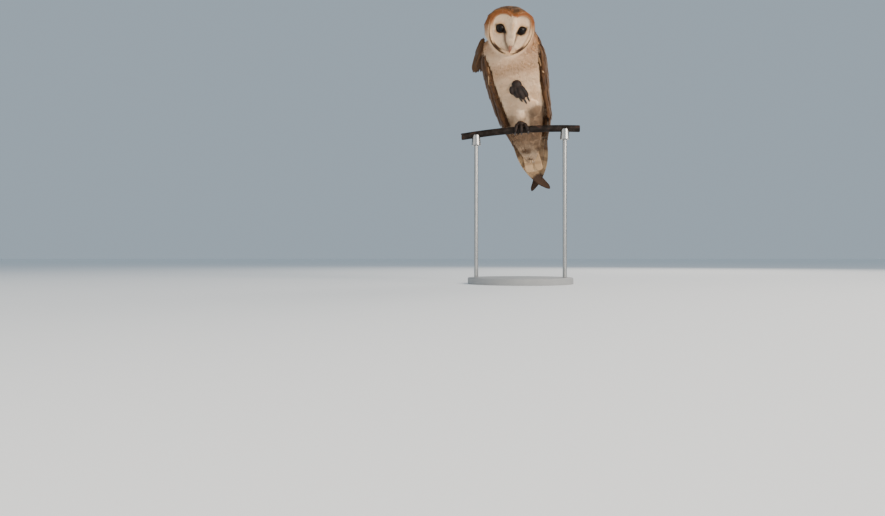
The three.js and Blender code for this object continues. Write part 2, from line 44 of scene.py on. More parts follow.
# The bird's own frame (z up its back, -y its belly) and its head's frame (-y out of the face) hold most sizes here,
# in millimetres, as they do in the model of its solids.
place = dict(
    body=(10.5, 40, 293), lean=18, roll=-10.3,
    head=(4, -16, 200), bow=29, cock=4.4, turn=13,
    perchTop=300, perchRadius=6.5, bend=1100, crownX=55, perchHalf=112, gap=0.3,
)


def turned(axis, degrees):
    return Matrix.Rotation(math.radians(degrees), 4, axis)


bodyFrame = Matrix.Translation(place["body"]) @ turned("Y", place["roll"]) @ turned("X", place["lean"])
headFrame = (
    Matrix.Translation(bodyFrame @ Vector(place["head"]))
    @ turned("Y", place["cock"]) @ turned("Z", place["turn"]) @ turned("X", place["bow"])
)


def outOf(matrix, points):
    # millimetres in one of the bird's frames to metres in the room
    m = np.array(matrix)
    return (np.asarray(points, float) @ m[:3, :3].T + m[:3, 3]) * mm


def into(matrix, points):
    m = np.array(matrix.inverted())
    return (np.asarray(points, float) / mm) @ m[:3, :3].T + m[:3, 3]


def aimed(matrix, directions):
    return np.asarray(directions, float) @ np.array(matrix)[:3, :3].T


def unit(v):
    return v / np.maximum(np.linalg.norm(v, axis=-1, keepdims=True), 1e-9)


def ease(low, high, value):
    t = np.clip((np.asarray(value, float) - low) / (high - low), 0, 1)
    return t * t * (3 - 2 * t)


def bump(value, middle, width):
    return np.exp(-(((np.asarray(value, float) - middle) / width) ** 2))


def through(rings, v):
    # a smooth curve through rows of numbers, for v from 0 to 1
    rings = np.asarray(rings, float)
    last = len(rings) - 1
    at = np.clip(np.asarray(v, float) * last, 0, last)
    i = np.minimum(at.astype(int), last - 1)
    t = (at - i)[..., None]
    a, b, c, d = (rings[np.clip(i + k, 0, last)] for k in (-1, 0, 1, 2))
    return b + 0.5 * t * (c - a + t * (2 * a - 5 * b + 4 * c - d + t * (3 * (b - c) + d - a)))


# ---- nodes and materials


class Wire:
    # a node's output, so that sums on it add the maths nodes
    def __init__(self, made, socket):
        self.made, self.socket = made, socket

    def maths(self, operation, *others, clamp=False):
        kind = "ShaderNodeMath"
        feeds = {i: value for i, value in enumerate((self, *others))}
        return self.made.add(kind, {"operation": operation, "use_clamp": clamp}, feeds)

    def __add__(self, other):
        return self.maths("ADD", other)

    __radd__ = __add__

    def __mul__(self, other):
        return self.maths("MULTIPLY", other)

    __rmul__ = __mul__

    def __sub__(self, other):
        return self.maths("SUBTRACT", other)

    def __rsub__(self, other):
        return (self * -1) + other

    def __truediv__(self, other):
        return self.maths("DIVIDE", other)

    def __pow__(self, other):
        return self.maths("POWER", other)

    def __gt__(self, other):
        return self.maths("GREATER_THAN", other)

    def __lt__(self, other):
        return self.maths("LESS_THAN", other)

    def held(self):
        return self.maths("ADD", 0.0, clamp=True)

    def atMost(self, other):
        return self.maths("MINIMUM", other)

    def atLeast(self, other):
        return self.maths("MAXIMUM", other)

    def size(self):
        return self.maths("ABSOLUTE")

    def step(self, low, high):
        settings = {"interpolation_type": "SMOOTHSTEP"}
        return self.made.add("ShaderNodeMapRange", settings, {0: self, 1: low, 2: high})

    def other(self, name):
        return Wire(self.made, self.socket.node.outputs[name])


class Wiring:
    # one node tree, filled a node at a time: its type, its settings, then the values or links of its sockets
    def __init__(self, tree):
        self.tree = tree

    def add(self, kind, settings=None, feeds=None, out=0):
        node = self.tree.nodes.new(kind)
        for name, value in (settings or {}).items():
            if name == "stops":
                self.setStops(node.color_ramp, value)
            else:
                setattr(node, name, value)
        for name, value in (feeds or {}).items():
            self.feed(node.inputs[name], value)
        return Wire(self, node.outputs[out]) if len(node.outputs) else node

    def feed(self, socket, value):
        if isinstance(value, Wire):
            self.tree.links.new(value.socket, socket)
        else:
            socket.default_value = value

    @staticmethod
    def setStops(ramp, stops):
        while len(ramp.elements) < len(stops):
            ramp.elements.new(0.5)
        for element, (at, colour) in zip(ramp.elements, stops):
            element.position, element.color = at, colour


def tint(r, g, b):
    # a colour as the eye reads it, 0 to 255, made linear
    return tuple((c / 255 / 12.92) if c < 10.3 else ((c / 255 + 0.055) / 1.055) ** 2.4 for c in (r, g, b)) + (1.0,)


class Paint(Wiring):
    # a material under construction
    def __init__(self, name, **fixed):
        self.material = bpy.data.materials.new(name)
        self.material.use_nodes = True
        super().__init__(self.material.node_tree)
        self.tree.nodes.clear()
        self.shader = self.tree.nodes.new("ShaderNodeBsdfPrincipled")
        output = self.tree.nodes.new("ShaderNodeOutputMaterial")
        self.tree.links.new(self.shader.outputs[0], output.inputs[0])
        for name, value in fixed.items():
            self.shader.inputs[name.replace("_", " ")].default_value = value

    def set(self, name, value):
        self.feed(self.shader.inputs[name], value)

    def mix(self, share, a, b, blend="MIX"):
        settings = {"data_type": "RGBA", "blend_type": blend}
        return self.add("ShaderNodeMix", settings, {0: share, 6: a, 7: b}, out=2)

    def value(self, name):
        return self.add("ShaderNodeAttribute", {"attribute_name": name}, out=2)

    def place(self):
        return self.add("ShaderNodeTexCoord", out=3)

    def speckle(self, scale, detail=2.0, rough=0.5, vector=None, stretch=None):
        at = vector or self.place()
        if stretch:
            at = self.add("ShaderNodeVectorMath", {"operation": "MULTIPLY"}, {0: at, 1: stretch})
        return self.add("ShaderNodeTexNoise", {}, {"Vector": at, "Scale": scale, "Detail": detail, "Roughness": rough})

    def cells(self, scale, vector=None):
        return self.add("ShaderNodeTexVoronoi", {}, {"Vector": vector or self.place(), "Scale": scale})

    def dent(self, height, distance, strength=1.0):
        feeds = {"Height": height, "Distance": distance, "Strength": strength}
        self.set("Normal", self.add("ShaderNodeBump", {}, feeds))


# ---- meshes


def newPiece(name, points, faces, smooth=True):
    mesh = bpy.data.meshes.new(name)
    mesh.from_pydata([tuple(p) for p in points], [], [tuple(f) for f in faces])
    if smooth:
        mesh.shade_smooth()
    piece = bpy.data.objects.new(name, mesh)
    bpy.context.scene.collection.objects.link(piece)
    return piece


def finished(piece, material, replaced=()):
    piece.data.materials.clear()
    piece.data.materials.append(material)
    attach(piece, "root")
    if replaced:
        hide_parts(*replaced)
    return piece


def applied(piece):
    # bakes a piece's modifiers into its mesh
    depsgraph = bpy.context.evaluated_depsgraph_get()
    mesh = bpy.data.meshes.new_from_object(
        piece.evaluated_get(depsgraph), preserve_all_data_layers=True, depsgraph=depsgraph)
    piece.modifiers.clear()
    piece.data = mesh
    return piece


def joinedNodes(names, name, swell=0.0, added=()):
    joined = bmesh.new()
    for points, faces in added:
        loose = bpy.data.meshes.new("filler")
        loose.from_pydata([tuple(p) for p in points], [], faces)
        joined.from_mesh(loose)
        bpy.data.meshes.remove(loose)
    for node in names:
        part = bmesh.new()
        part.from_mesh(nodes[node].data)
        bmesh.ops.remove_doubles(part, verts=part.verts, dist=1e-5)
        part.normal_update()
        for v in part.verts:
            v.co += v.normal * swell
        loose = bpy.data.meshes.new(node + "Copy")
        part.to_mesh(loose)
        joined.from_mesh(loose)
        part.free()
        bpy.data.meshes.remove(loose)
    mesh = bpy.data.meshes.new(name)
    joined.to_mesh(mesh)
    joined.free()
    piece = bpy.data.objects.new(name, mesh)
    bpy.context.scene.collection.objects.link(piece)
    return piece


def tube(path, radii, sides=16, steps=24, side=(1, 0, 0), blunt=10, flat=1.0):
    # a closed, rounded limb along a smooth path, as in the solids
    v = np.linspace(0, 1, steps)
    line = through(path, v)
    size = through(np.asarray(radii, float)[:, None], v)[:, 0] * np.sqrt(np.maximum(0, 1 - np.abs(2 * v - 1) ** blunt))
    along = unit(np.gradient(line, axis=0))
    out = unit(np.array(side, float) - along * (along @ np.array(side, float))[:, None])
    up = np.cross(along, out)
    a = np.linspace(0, 2 * math.pi, sides, endpoint=False)
    ring = out[:, None] * np.cos(a)[None, :, None] + up[:, None] * (np.sin(a) * flat)[None, :, None]
    grid = line[:, None] + ring * size[:, None, None]
    ids = np.arange(steps * sides).reshape(steps, sides)
    around = np.roll(ids, -1, axis=1)
    faces = np.stack([ids[:-1], around[:-1], around[1:], ids[1:]], -1).reshape(-1, 4)
    return grid.reshape(-1, 3), [tuple(f) for f in faces.tolist()] + [tuple(ids[0][::-1]), tuple(ids[-1])]


def fused(piece, voxel, smoothing):
    # one closed skin over several solids
    remesh = piece.modifiers.new("Remesh", "REMESH")
    remesh.mode, remesh.voxel_size, remesh.use_smooth_shade = "VOXEL", voxel, True
    smooth = piece.modifiers.new("Smooth", "SMOOTH")
    smooth.factor, smooth.iterations = 0.5, smoothing
    return applied(piece)


def pointsOf(mesh):
    flat = np.empty(len(mesh.vertices) * 3)
    mesh.vertices.foreach_get("co", flat)
    return flat.reshape(-1, 3)


def normalsOf(mesh):
    flat = np.empty(len(mesh.vertices) * 3)
    mesh.vertex_normals.foreach_get("vector", flat)
    return flat.reshape(-1, 3)


def setPoints(mesh, points):
    mesh.vertices.foreach_set("co", np.asarray(points, np.float32).ravel())
    mesh.update()


def note(mesh, name, values):
    # keeps a number or a direction for each vertex
    values = np.asarray(values, np.float32)
    kind = "FLOAT_VECTOR" if values.ndim == 2 else "FLOAT"
    layer = mesh.attributes.new(name, kind, "POINT")
    layer.data.foreach_set("vector" if values.ndim == 2 else "value", values.ravel())


# ---- the face's outline, as in the solids

face = dict(half=40, top=33, chin=42, notch=8, notchWidth=0.36, front=-27, sweep=15, chinBack=6, browBack=3, eyeX=19.5)


def rimAt(angle):
    s, c = np.sin(angle), np.cos(angle)
    power = np.where(c > 0, 3, 2.05)
    tall = np.where(c > 0, face["top"], face["chin"])
    radius = (np.abs(s / face["half"]) ** power + np.abs(c / tall) ** power) ** (-1 / power)
    return radius - face["notch"] * bump(np.arctan2(s, c), 0, face["notchWidth"])


def maskDepth(x, z):
    return (face["front"] + face["sweep"] * (np.abs(x) / face["half"]) ** 1.7
            + face["chinBack"] * (np.maximum(0, -z) / face["chin"]) ** 2
            + face["browBack"] * (np.maximum(0, z) / face["top"]) ** 2)


# ---- the wings' outer faces, as in the solids

wing = dict(
    rings=(  # height, front edge, back edge, bulge, thickness
        (176, -42, 4, -36, 16, 1, 1), (166, -50, -6, -36, 24, 6, 8), (150, -53, -17, -27, 39, 13, 13),
        (130, -51, -27, -18, 48, 18, 15), (92, -46, -34, -6, 51, 23, 15), (58, -42, -32, 0, 48, 23, 14),
        (29, -38, -26, 3, 43, 21, 13), (6, -34, -19, 5, 37, 18, 11), (-20, -29, -4, 8, 28, 11, 8),
        (-45, -25, 6, 10, 23, 5, 5), (-70, -16, 11, 13, 20, 3, 4), (-88, -4, 13, 14.5, 18, 2, 3.2),
        (-106, 10, 14, 27, 17, 1, 2.4), (-116, 20, 14.5, 36, 16.5, 0.5, 1.8), (-120, 25, 15, 37, 16, 0.2, 1.2),
    ),
    layer=4.5, tuck=6, tuckAt=22, tuckSpan=30, crossing=(60, -119, 1, 11.5),
)
ringSteps = np.linspace(0, 1, 400)
ringRows = through(wing["rings"], ringSteps)


def wingPoint(side, at, k):
    # a place on a wing's outer face: its height down the body and its share from the front edge to the back
    at, k = np.broadcast_arrays(np.asarray(at, float), np.asarray(k, float))
    row = [np.interp(-at, -ringRows[:, 0], ringRows[:, i]) for i in range(7)]
    below = np.minimum(0, at + 120)
    left = side > 0
    tuck = wing["tuck"] * bump(at, wing["tuckAt"], wing["tuckSpan"]) if left else 0
    layer = wing["layer"] * ease(150, 40, at) if left else 0
    front = np.stack([row[1] - tuck - 0.9 * below, row[2] + tuck], -1)
    back = np.stack([row[3] - 0.9 * below, row[4] + layer], -1)
    chord = back - front
    normal = unit(np.stack([-chord[..., 1], chord[..., 0]], -1))
    inside = np.clip(k, 0, 1)
    off = (row[5] + layer * 0.35) * 4 * inside * (1 - inside)
    off = off + row[6] / 2 * np.sqrt(np.maximum(0, 1 - np.abs(2 * inside - 1) ** 6))
    xy = front + chord * k[..., None] + normal * off[..., None]
    a, b, start, end = wing["crossing"]
    mirror = start + (end - start) * np.clip((a - at) / (a - b), 0, 1)
    x = 2 * mirror - xy[..., 0] if left else xy[..., 0]
    y = xy[..., 1] + (layer * ease(20, -40, at) if left else 0)
    return np.stack([x, y, at], -1)


def wingPlace(points):
    # for points near the wings: their share from the front edge to the back, and how far off its middle they are
    side = np.where(points[:, 0] > 3, 1, -1)
    at = np.clip(points[:, 2], -119, 175)
    share, off = np.zeros(len(points)), np.zeros(len(points))
    for which in (-1, 1):
        front, back = wingPoint(which, at, 0.0), wingPoint(which, at, 1.0)
        chord = (back - front)[:, :2]
        across = points[:, :2] - front[:, :2]
        size = np.sum(chord * chord, axis=1)
        mine = side == which
        share[mine] = (np.sum(across * chord, axis=1) / size)[mine]
        turn = chord[:, 0] * across[:, 1] - chord[:, 1] * across[:, 0]
        away = turn / np.sqrt(size) * (1 if which < 0 else -1)
        k = np.clip(share, 0, 1)
        away = away - np.interp(-at, -ringRows[:, 0], ringRows[:, 5]) * 4 * k * (1 - k)
        off[mine] = away[mine]
    return share, off


# ---- skin

print("skin")
skinSizes = dict(
    voxel=1.6, swell=0.35, smoothing=8,
    coat=3.2, faceCoat=1.3, legCoat=2.2, wingCoat=3.0,  # how deep the skin lies under the solids' surface
)
fillers = dict(
    # the feathered ridge over the root of the bill, in the head's frame
    ridge=[[0, -18, 8], [0, -20.5, -2], [0, -22, -10], [0, -26, -16], [0, -30, -22.5], [0, -32.2, -28]],
    ridgeRadii=[6.5, 8.2, 8.4, 7.8, 6.9, 4.9],
    # the feathers that close the furrow between the folded wings, in the body's frame
    saddle=[[1, 32, 140], [1, 33, 118], [1, 36, 96], [2, 39, 72], [3, 40.5, 47], [3.5, 39, 24], [4, 34, 2], [4, 27, -18]],
    saddleRadii=[16, 21, 20, 17, 14, 13, 12, 9], saddleFlat=0.58,
)
headNodes = ["head", "facial_disc"]
legNodes = ["thigh_right", "thigh_left", "shank_right"]
bodyNodes = ["trunk", "neck"]
wingNodes = [f"wing_{side}_{part}" for side in ("right", "left") for part in ("coverts", "secondaries")]
tipNodes = [f"wing_{side}_primaries" for side in ("right", "left")]
fleshNodes = headNodes + bodyNodes + legNodes + wingNodes


def surfaceOf(names):
    piece = joinedNodes(names, "probe")
    tree = BVHTree.FromPolygons([v.co for v in piece.data.vertices], [p.vertices for p in piece.data.polygons])
    bpy.data.objects.remove(piece)
    return tree


def distances(tree, points):
    return np.array([tree.find_nearest(p)[3] for p in points.tolist()]) / mm


def markSkin(mesh):
    # what part of the bird each point belongs to and how it is marked
    points, normals = pointsOf(mesh), normalsOf(mesh)
    body, head = into(bodyFrame, points), into(headFrame, points)
    near = {k: distances(surfaceOf(v), points) for k, v in
            dict(head=headNodes, body=bodyNodes, leg=legNodes, wing=wingNodes).items()}
    angle = np.arctan2(head[:, 0], head[:, 2])
    reach = np.hypot(head[:, 0], head[:, 2]) / rimAt(angle)
    facing = ease(9, 5, head[:, 1] - maskDepth(head[:, 0], head[:, 2]) - 9 * (reach < 1))
    onHead = ease(-1.5, 1.5, np.minimum(near["body"], near["wing"]) - near["head"])
    onFace = onHead * facing * ease(1.0, 0.94, reach)
    onLeg = ease(-1, 1, near["body"] - near["leg"]) * (1 - onHead)
    onWing = ease(-1, 1, np.minimum(near["body"], near["leg"]) - near["wing"]) * (1 - onHead)
    onBody = np.clip(1 - onHead - onLeg - onWing, 0, 1)
    x, y, z = body.T
    behind = ease(-14, 16, y + 0.30 * x * ease(90, 175, z) + 6 * ease(150, 110, z))
    gold = np.maximum(behind * onBody, onWing)
    gold = np.maximum(gold, onHead * (1 - onFace) * ease(-24, 4, head[:, 2] + 0.9 * (head[:, 1] + 8)))
    share, off = wingPlace(body)
    lay = dict(
        share=share, off=off, body=body, head=head, reach=reach, onHead=onHead, onFace=onFace, onLeg=onLeg, onWing=onWing, onBody=onBody,
        gold=gold, behind=behind, normals=normals, points=points)
    return lay


def featherLie(lay):
    # down the body, back over the crown, out from the eyes on the face, down the legs
    x, y, z = lay["body"].T
    down = np.stack([0.10 * np.sign(x) * np.minimum(1, np.abs(x) / 12), 0 * x, -np.ones_like(x)], 1)
    lower = ease(30, -20, z)[:, None]
    down = aimed(bodyFrame, down * (1 - lower) + np.stack([-0.012 * (x - 2), 0 * x, -np.ones_like(x)], 1) * lower)
    hx, hy, hz = lay["head"].T
    back = aimed(headFrame, np.stack([0.012 * hx, np.ones_like(hx), -0.35 - 0.5 * ease(10, -25, hz)], 1))
    side = np.where(hx > 0, 1, -1)
    fromEye = np.stack([hx - side * face["eyeX"], 0 * hx, hz], 1)
    ridge = ease(9, 5, np.abs(hx))[:, None]
    along = np.stack([side * (1.1 * bump(hz, 9, 7) - 0.12), -0.3 + 0 * hx, 2 * ease(2, 16, hz) - 1], 1)
    outward = aimed(headFrame, unit(fromEye) * (1 - ridge) + along * ridge)
    legs = np.stack([0 * x, 0 * x, -np.ones_like(x)], 1)
    lie = (down * (lay["onBody"] + lay["onWing"])[:, None] + back * (lay["onHead"] - lay["onFace"])[:, None]
           + outward * lay["onFace"][:, None] + legs * lay["onLeg"][:, None])
    normals = lay["normals"]
    lie = lie - normals * np.sum(lie * normals, axis=1, keepdims=True)
    return unit(lie)


def makeSkin():
    added = []
    for part, matrix in (("ridge", headFrame), ("saddle", bodyFrame)):
        flat = fillers.get(part + "Flat", 1.0)
        points, faces = tube(fillers[part], fillers[part + "Radii"], 24, 30, blunt=6, flat=flat)
        added.append((outOf(matrix, points), faces))
    piece = fused(joinedNodes(fleshNodes, "skin", skinSizes["swell"] * mm, added), skinSizes["voxel"] * mm,
                  skinSizes["smoothing"])
    lay = markSkin(piece.data)
    depth = (skinSizes["coat"] * lay["onBody"] + skinSizes["wingCoat"] * lay["onWing"]
             + skinSizes["legCoat"] * lay["onLeg"] + skinSizes["faceCoat"] * lay["onFace"]
             + skinSizes["coat"] * 0.8 * (lay["onHead"] - lay["onFace"]))
    setPoints(piece.data, lay["points"] - lay["normals"] * (depth * mm)[:, None])
    lay["points"], lay["normals"] = pointsOf(piece.data), normalsOf(piece.data)
    lay["lie"] = featherLie(lay)
    return piece, lay


skin, lay = makeSkin()
print("skin", len(skin.data.vertices), "points")


def segment(x, z, a, b):
    # how far points are from a line between two places, in the plane of the face
    a, b = np.array(a, float), np.array(b, float)
    at = np.stack([x, z], 1)
    share = np.clip((at - a) @ (b - a) / ((b - a) @ (b - a)), 0, 1)
    return np.linalg.norm(at - (a + share[:, None] * (b - a)), axis=1)


def almond(hx, hz):
    # how far out a place on the face is from an eye, 1 at its almond outline, which rises outwards
    side, tilt = np.where(hx > 0, 1, -1), math.radians(eyeMark["tilt"])
    u = hx * side - face["eyeX"]
    long, short = u * math.cos(tilt) + hz * math.sin(tilt), hz * math.cos(tilt) - u * math.sin(tilt)
    return (np.abs(long) / eyeMark["long"]) ** 1.3 + (np.abs(short) / eyeMark["short"]) ** 1.3


eyeMark = dict(tilt=30, long=10.6, short=6.0, streak=((13.0, -7), (10.6, -16), (3.4, -31)))

# the wings' front edges as they show from ahead, dark brown, partly painted shade: x and height in the room of their
# inner and outer edges
strips = dict(
    right=dict(inner=((-60, 424), (-52.7, 405), (-48.5, 385), (-41.7, 366), (-34.3, 346), (-27, 326), (-17, 301)),
               outer=((-72, 410), (-66, 385), (-60, 361), (-51, 339), (-41.7, 317), (-35.5, 300))),
    left=dict(inner=((33, 440), (33.5, 427), (34.5, 405), (36.2, 385), (39.8, 366), (46.5, 350), (51, 331), (49, 301)),
              outer=((40, 459), (49, 434), (56, 397), (60, 366), (60.8, 331), (58.8, 301))),
)
viewFrom = (0, -1344, 49)
undertailSpots = ((10, 257), (17, 241), (37, 262), (40, 245))  # the dark spots under the tail, as they show from ahead


def stripEdge(word, edge, height):
    rows = np.array(strips[word][edge][::-1], float)
    return np.interp(height, rows[:, 1], rows[:, 0])


def paintSkin():
    # the bird's markings and painted shade, as numbers kept on the skin that its feathers take over
    x, y, z = lay["body"].T
    hx, hy, hz = lay["head"].T
    wx, wy, wz = lay["points"].T / mm
    reach, onHead, onFace, onLeg, onWing = (lay[k] for k in ("reach", "onHead", "onFace", "onLeg", "onWing"))
    ahx = np.abs(hx)
    angle = np.abs(np.arctan2(hx, hz))
    low = ease(math.radians(66), math.radians(96), angle)
    rim = bump(reach, 0.99, 0.04) * onHead * ease(14, 6, hy - maskDepth(hx, hz))
    eyeDark = ease(1.25, 0.95, almond(hx, hz)) * onFace
    a, b, c = eyeMark["streak"]
    streak = np.maximum(bump(segment(ahx, hz, a, b), 0, 2.4), 0.9 * bump(segment(ahx, hz, b, c), 0, 2.4))
    # a faint brown line down the middle of the face, stronger below the eyes: partly painted shadow of the crease there
    streak = np.clip(np.maximum(streak, 0.22 * bump(hx, 0, 5.5) * ease(14, -14, hz)), 0, 1) * onFace
    neckSide = ease(-34, -6, y + 0.34 * x) * ease(128, 165, z)
    gold = np.clip(np.maximum(lay["gold"], neckSide * 0.8) * (1 - onLeg) * (1 - onFace), 0, 1)
    rump = ease(20, -15, z) * (1 - onWing)
    gold = gold * (1 - rump * ease(34, 10, y)) * (1 - ease(-8, -30, z) * (1 - onWing))
    outside = onHead * (1 - onFace) * ease(14, 8, hy - maskDepth(hx, hz) - 10)
    beyond = np.hypot(hx, hz) - rimAt(np.arctan2(hx, hz))
    band = outside * ease(15, 8, beyond) * ease(-8, 8, hz)
    gold = np.maximum(gold, 1.3 * band)
    backHead = ease(-6, 8, hy + 0.15 * hz - 4) * onHead * (1 - onFace)
    # the crown's top behind the rim goes grey-brown: partly its own grey frosting, partly painted shade
    backHead = np.maximum(backHead, ease(2.6, 5.5, beyond) * ease(13, 24, hz + 0.45 * hx) * onHead * (1 - onFace))
    dusk = np.clip(np.maximum(backHead, lay["behind"] * lay["onBody"] * ease(-4, 22, y)), 0, 1)
    dusk = np.maximum(dusk * (1 - rump), onWing * 0.7)
    share = lay["share"]
    # the wings darker towards their front edges: partly painted shade
    tone = onWing * (0.15 + 0.6 * ease(0.02, 0.3, share))
    bib = bump(z, 133, 14) * ease(-4, -22, y) * lay["onBody"]
    freckles = np.maximum(0.8 * bib, 0.5 * ease(20, 34, np.abs(x)) * ease(150, 120, z) * ease(0, 30, z)) * ease(6, -8, y)
    speck = np.maximum(freckles * lay["onBody"], 0.8 * dusk * lay["onBody"])
    front = np.maximum(ease(12, -2, y), ease(296, 288, wz))
    # where a line from ahead to the middle of the feather that grows here meets the plane through the perch
    halfway = lay["points"] / mm + 4.5 * lay["lie"]
    sight = (0 - viewFrom[1]) / (halfway[:, 1] - viewFrom[1])
    seenX, seenZ = halfway[:, 0] * sight, viewFrom[2] + (halfway[:, 2] - viewFrom[2]) * sight
    # painted shade in the recess beside the standing leg, above the perch, and a fainter one on the leg's other side
    paintedShade = 0.9 * ease(14, 20, seenX) * ease(332, 323, seenZ - 0.35 * seenX) * ease(296, 303, seenZ)
    paintedShade = np.maximum(paintedShade, 0.55 * ease(-9, -16, seenX) * ease(352, 318, seenZ - 0.6 * seenX))
    # painted shade below the perch, lighter further down
    shadeBelowPerch = ease(306, 296, seenZ) * (0.95 - 0.4 * ease(274, 258, seenZ) - 0.35 * ease(258, 242, seenZ))
    paintedShade = np.maximum(paintedShade, shadeBelowPerch)
    bars = np.max([bump(np.hypot(0.5 * (seenX - at), seenZ - up), 0, 3.6) for at, up in undertailSpots], axis=0)
    # the shade mask: painted shade, with the undertail's own dark spots added in
    shade = np.clip((paintedShade + 0.9 * bars) * front * (1 - onWing) * (1 - onHead), 0, 1)
    # painted shade on the lowest feathers under the tail, off the wings
    shade = np.maximum(shade, 0.3 * ease(262, 254, wz) * (1 - onWing))
    # the wings' inner faces take their own pale buff through the same mask, without gold
    inner = onWing * ease(1, -2, lay["off"])
    shade = np.maximum(shade, 0.45 * inner)
    gold = gold * (1 - inner)
    # the wings' front edges as they show from ahead, painted dark brown: partly painted shade
    strip = np.maximum(ease(-1.5, 1.5, seenX - stripEdge("left", "inner", seenZ)) * ease(440, 425, seenZ),
                       ease(1.5, -1.5, seenX - stripEdge("right", "inner", seenZ)) * ease(432, 418, seenZ))
    strip = strip * ease(300, 306, seenZ) * ease(25, 15, y) * (1 - onHead) * (1 - onLeg)
    # brown: the wings' outer faces and front strips, partly painted shade, and the undertail's own spots
    for name, values in dict(gold=gold, dusk=dusk, bib=bib, speck=speck, rim=rim * low, goldRim=np.maximum(rim * (1 - low), band),
                             smudge=eyeDark, streak=streak, face=onFace, leg=onLeg, shade=shade, lie=lay["lie"],
                             brown=np.maximum(np.maximum(onWing * (1 - inner), strip), 0.6 * bars * front * (1 - onWing)), tone=tone, pale=0 * z, kind=0.5 * onWing).items():
        note(skin.data, name, values)
    nearBill = bump(np.hypot(hx, (hz + 35) * 0.8), 0, 5)
    notch = ease(0.78, 0.84, reach) * ease(14, 18, hz) * ease(12, 8, ahx)
    nearEye = ease(7.9, 7.0, np.hypot(ahx - face["eyeX"], hz))
    mantled = ease(20, 30, y) * ease(22, 18, np.abs(x - 1)) * ease(152, 140, z) * ease(-5, 5, z)
    covers = dict(
        coverWhite=lay["onBody"] * ease(0.75, 0.35, gold) * (1 - strip),
        coverGold=lay["onBody"] * ease(0.35, 0.75, gold) * (1 - strip) * (1 - mantled),
        coverCrown=np.clip(onHead - onFace, 0, 1),
        coverFace=onFace * (1 - nearEye) * ease(1.0, 0.4, nearBill) * (1 - notch),
        coverLeg=onLeg * ease(0.5, 0.2, onWing) * ease(50, 47, seenX),
        coverWing=onWing * ease(146, 156, z),
    )
    for name, values in covers.items():
        note(skin.data, name, values)
    size = 0.8 + 0.2 * ease(165, 120, z)
    size = size * (1 + 0.4 * ease(25, -25, z) * lay["onBody"])
    size = np.where(onHead > 0.5, 1.0, size)
    nearRim = ease(1.6, 1.05, almond(hx, hz)) * 0.35 + 0.35 * ease(0.86, 0.96, reach) * ease(8, 20, hz)
    size = size * (1 - nearRim * onFace)
    note(skin.data, "size", size)


paintSkin()

bpy.context.view_layer.objects.active = skin
skin.select_set(True)
bpy.ops.object.mode_set(mode="EDIT")
bpy.ops.mesh.select_all(action="SELECT")
bpy.ops.uv.smart_project(angle_limit=math.radians(66), island_margin=0.004)
bpy.ops.object.mode_set(mode="OBJECT")
skin.select_set(False)
skin.data.uv_layers[0].name = "OFBake"


# ---- the feathers that cover the skin

def unitFeather(name, stations, thick, droop, sides):
    # one feather of length 1 and width 1 along y: closed, thin at its edges, its tip drooping
    points, across, along, faces = [(0, 0, 0)], [0.5], [0.0], []
    ring = ((-0.5, 0), (0, 1), (0.5, 0), (0, -0.4))[:sides]
    for v, w, middle in stations:
        for a, h in ring:
            at = middle if a == 0 else v
            points.append((a * w, at, h * thick * (0.4 + 0.6 * w) + droop * at * (0.35 - at)))
            across.append(a * w + 0.5)
            along.append(at)
    end = stations[-1][2] + 0.08
    points.append((0, end, droop * end * (0.35 - end)))
    across.append(0.5)
    along.append(end)
    last = len(points) - 1
    for s in range(sides):
        n = (s + 1) % sides
        faces.append((0, 1 + n, 1 + s))
        for row in range(len(stations) - 1):
            a = 1 + row * sides
            faces.append((a + s, a + n, a + sides + n, a + sides + s))
        a = 1 + (len(stations) - 1) * sides
        faces.append((a + s, a + n, last))
    return unitShape(name, points, faces, across, along)


def unitShape(name, points, faces, across, along):
    mesh = bpy.data.meshes.new(name)
    mesh.from_pydata(points, [], faces)
    fixed = bmesh.new()
    fixed.from_mesh(mesh)
    bmesh.ops.recalc_face_normals(fixed, faces=fixed.faces)
    fixed.to_mesh(mesh)
    fixed.free()
    mesh.shade_smooth()
    note(mesh, "across", across)
    note(mesh, "along", along)
    piece = bpy.data.objects.new(name, mesh)
    bpy.context.scene.collection.objects.link(piece)
    return piece


def plumeFeather(name, count=7, spread=0.5, width=0.05, thick=0.03, droop=0.12):
    # a loose feather of length 1: a fan of closed slivers from one root, its end frayed
    points, across, along, faces = [], [], [], []
    for i in range(count):
        t = 2 * i / (count - 1) - 1
        long = 1 - 0.2 * t * t - 0.06 * (i % 2)
        first = len(points)
        rows = ((0, 0), (0.4, 1.0), (0.8, 0.7), (1, 0))
        for s, w in rows:
            x, y = spread * t * s ** 0.8, long * s
            ring = ((0, 0),) if w == 0 else ((-width * w, 0), (0, thick), (width * w, 0))
            for dx, h in ring:
                points.append((x + dx, y, h + droop * y * (0.35 - y) - 0.04 * t * t))
                across.append(x + dx + 0.5)
                along.append(y)
        for j in range(3):
            n = (j + 1) % 3
            faces += [(first, first + 1 + n, first + 1 + j), (first + 4 + j, first + 4 + n, first + 7)]
            faces.append((first + 1 + j, first + 1 + n, first + 4 + n, first + 4 + j))
    return unitShape(name, points, faces, across, along)


# place along the feather, width there, and place of the shaft's point: a vane's end is ragged
vaneEnd = ((0.12, 0.4, 0.12), (0.36, 0.86, 0.36), (0.62, 1.0, 0.62), (0.82, 0.86, 0.76), (0.82, 0.56, 0.84), (0.97, 0.34, 0.9))
shapes = dict(
    vane=unitFeather("vane", vaneEnd, 0.018, 0.12, 4),
    tuft=unitFeather("tuft", ((0.2, 0.7, 0.2), (0.5, 1.0, 0.5), (0.8, 0.55, 0.92)), 0.05, 0.16, 3),
    plume=plumeFeather("plume"),
    barb=unitFeather("barb", ((0.3, 1.0, 0.3), (0.7, 0.75, 0.92)), 0.04, 0.12, 3),
)


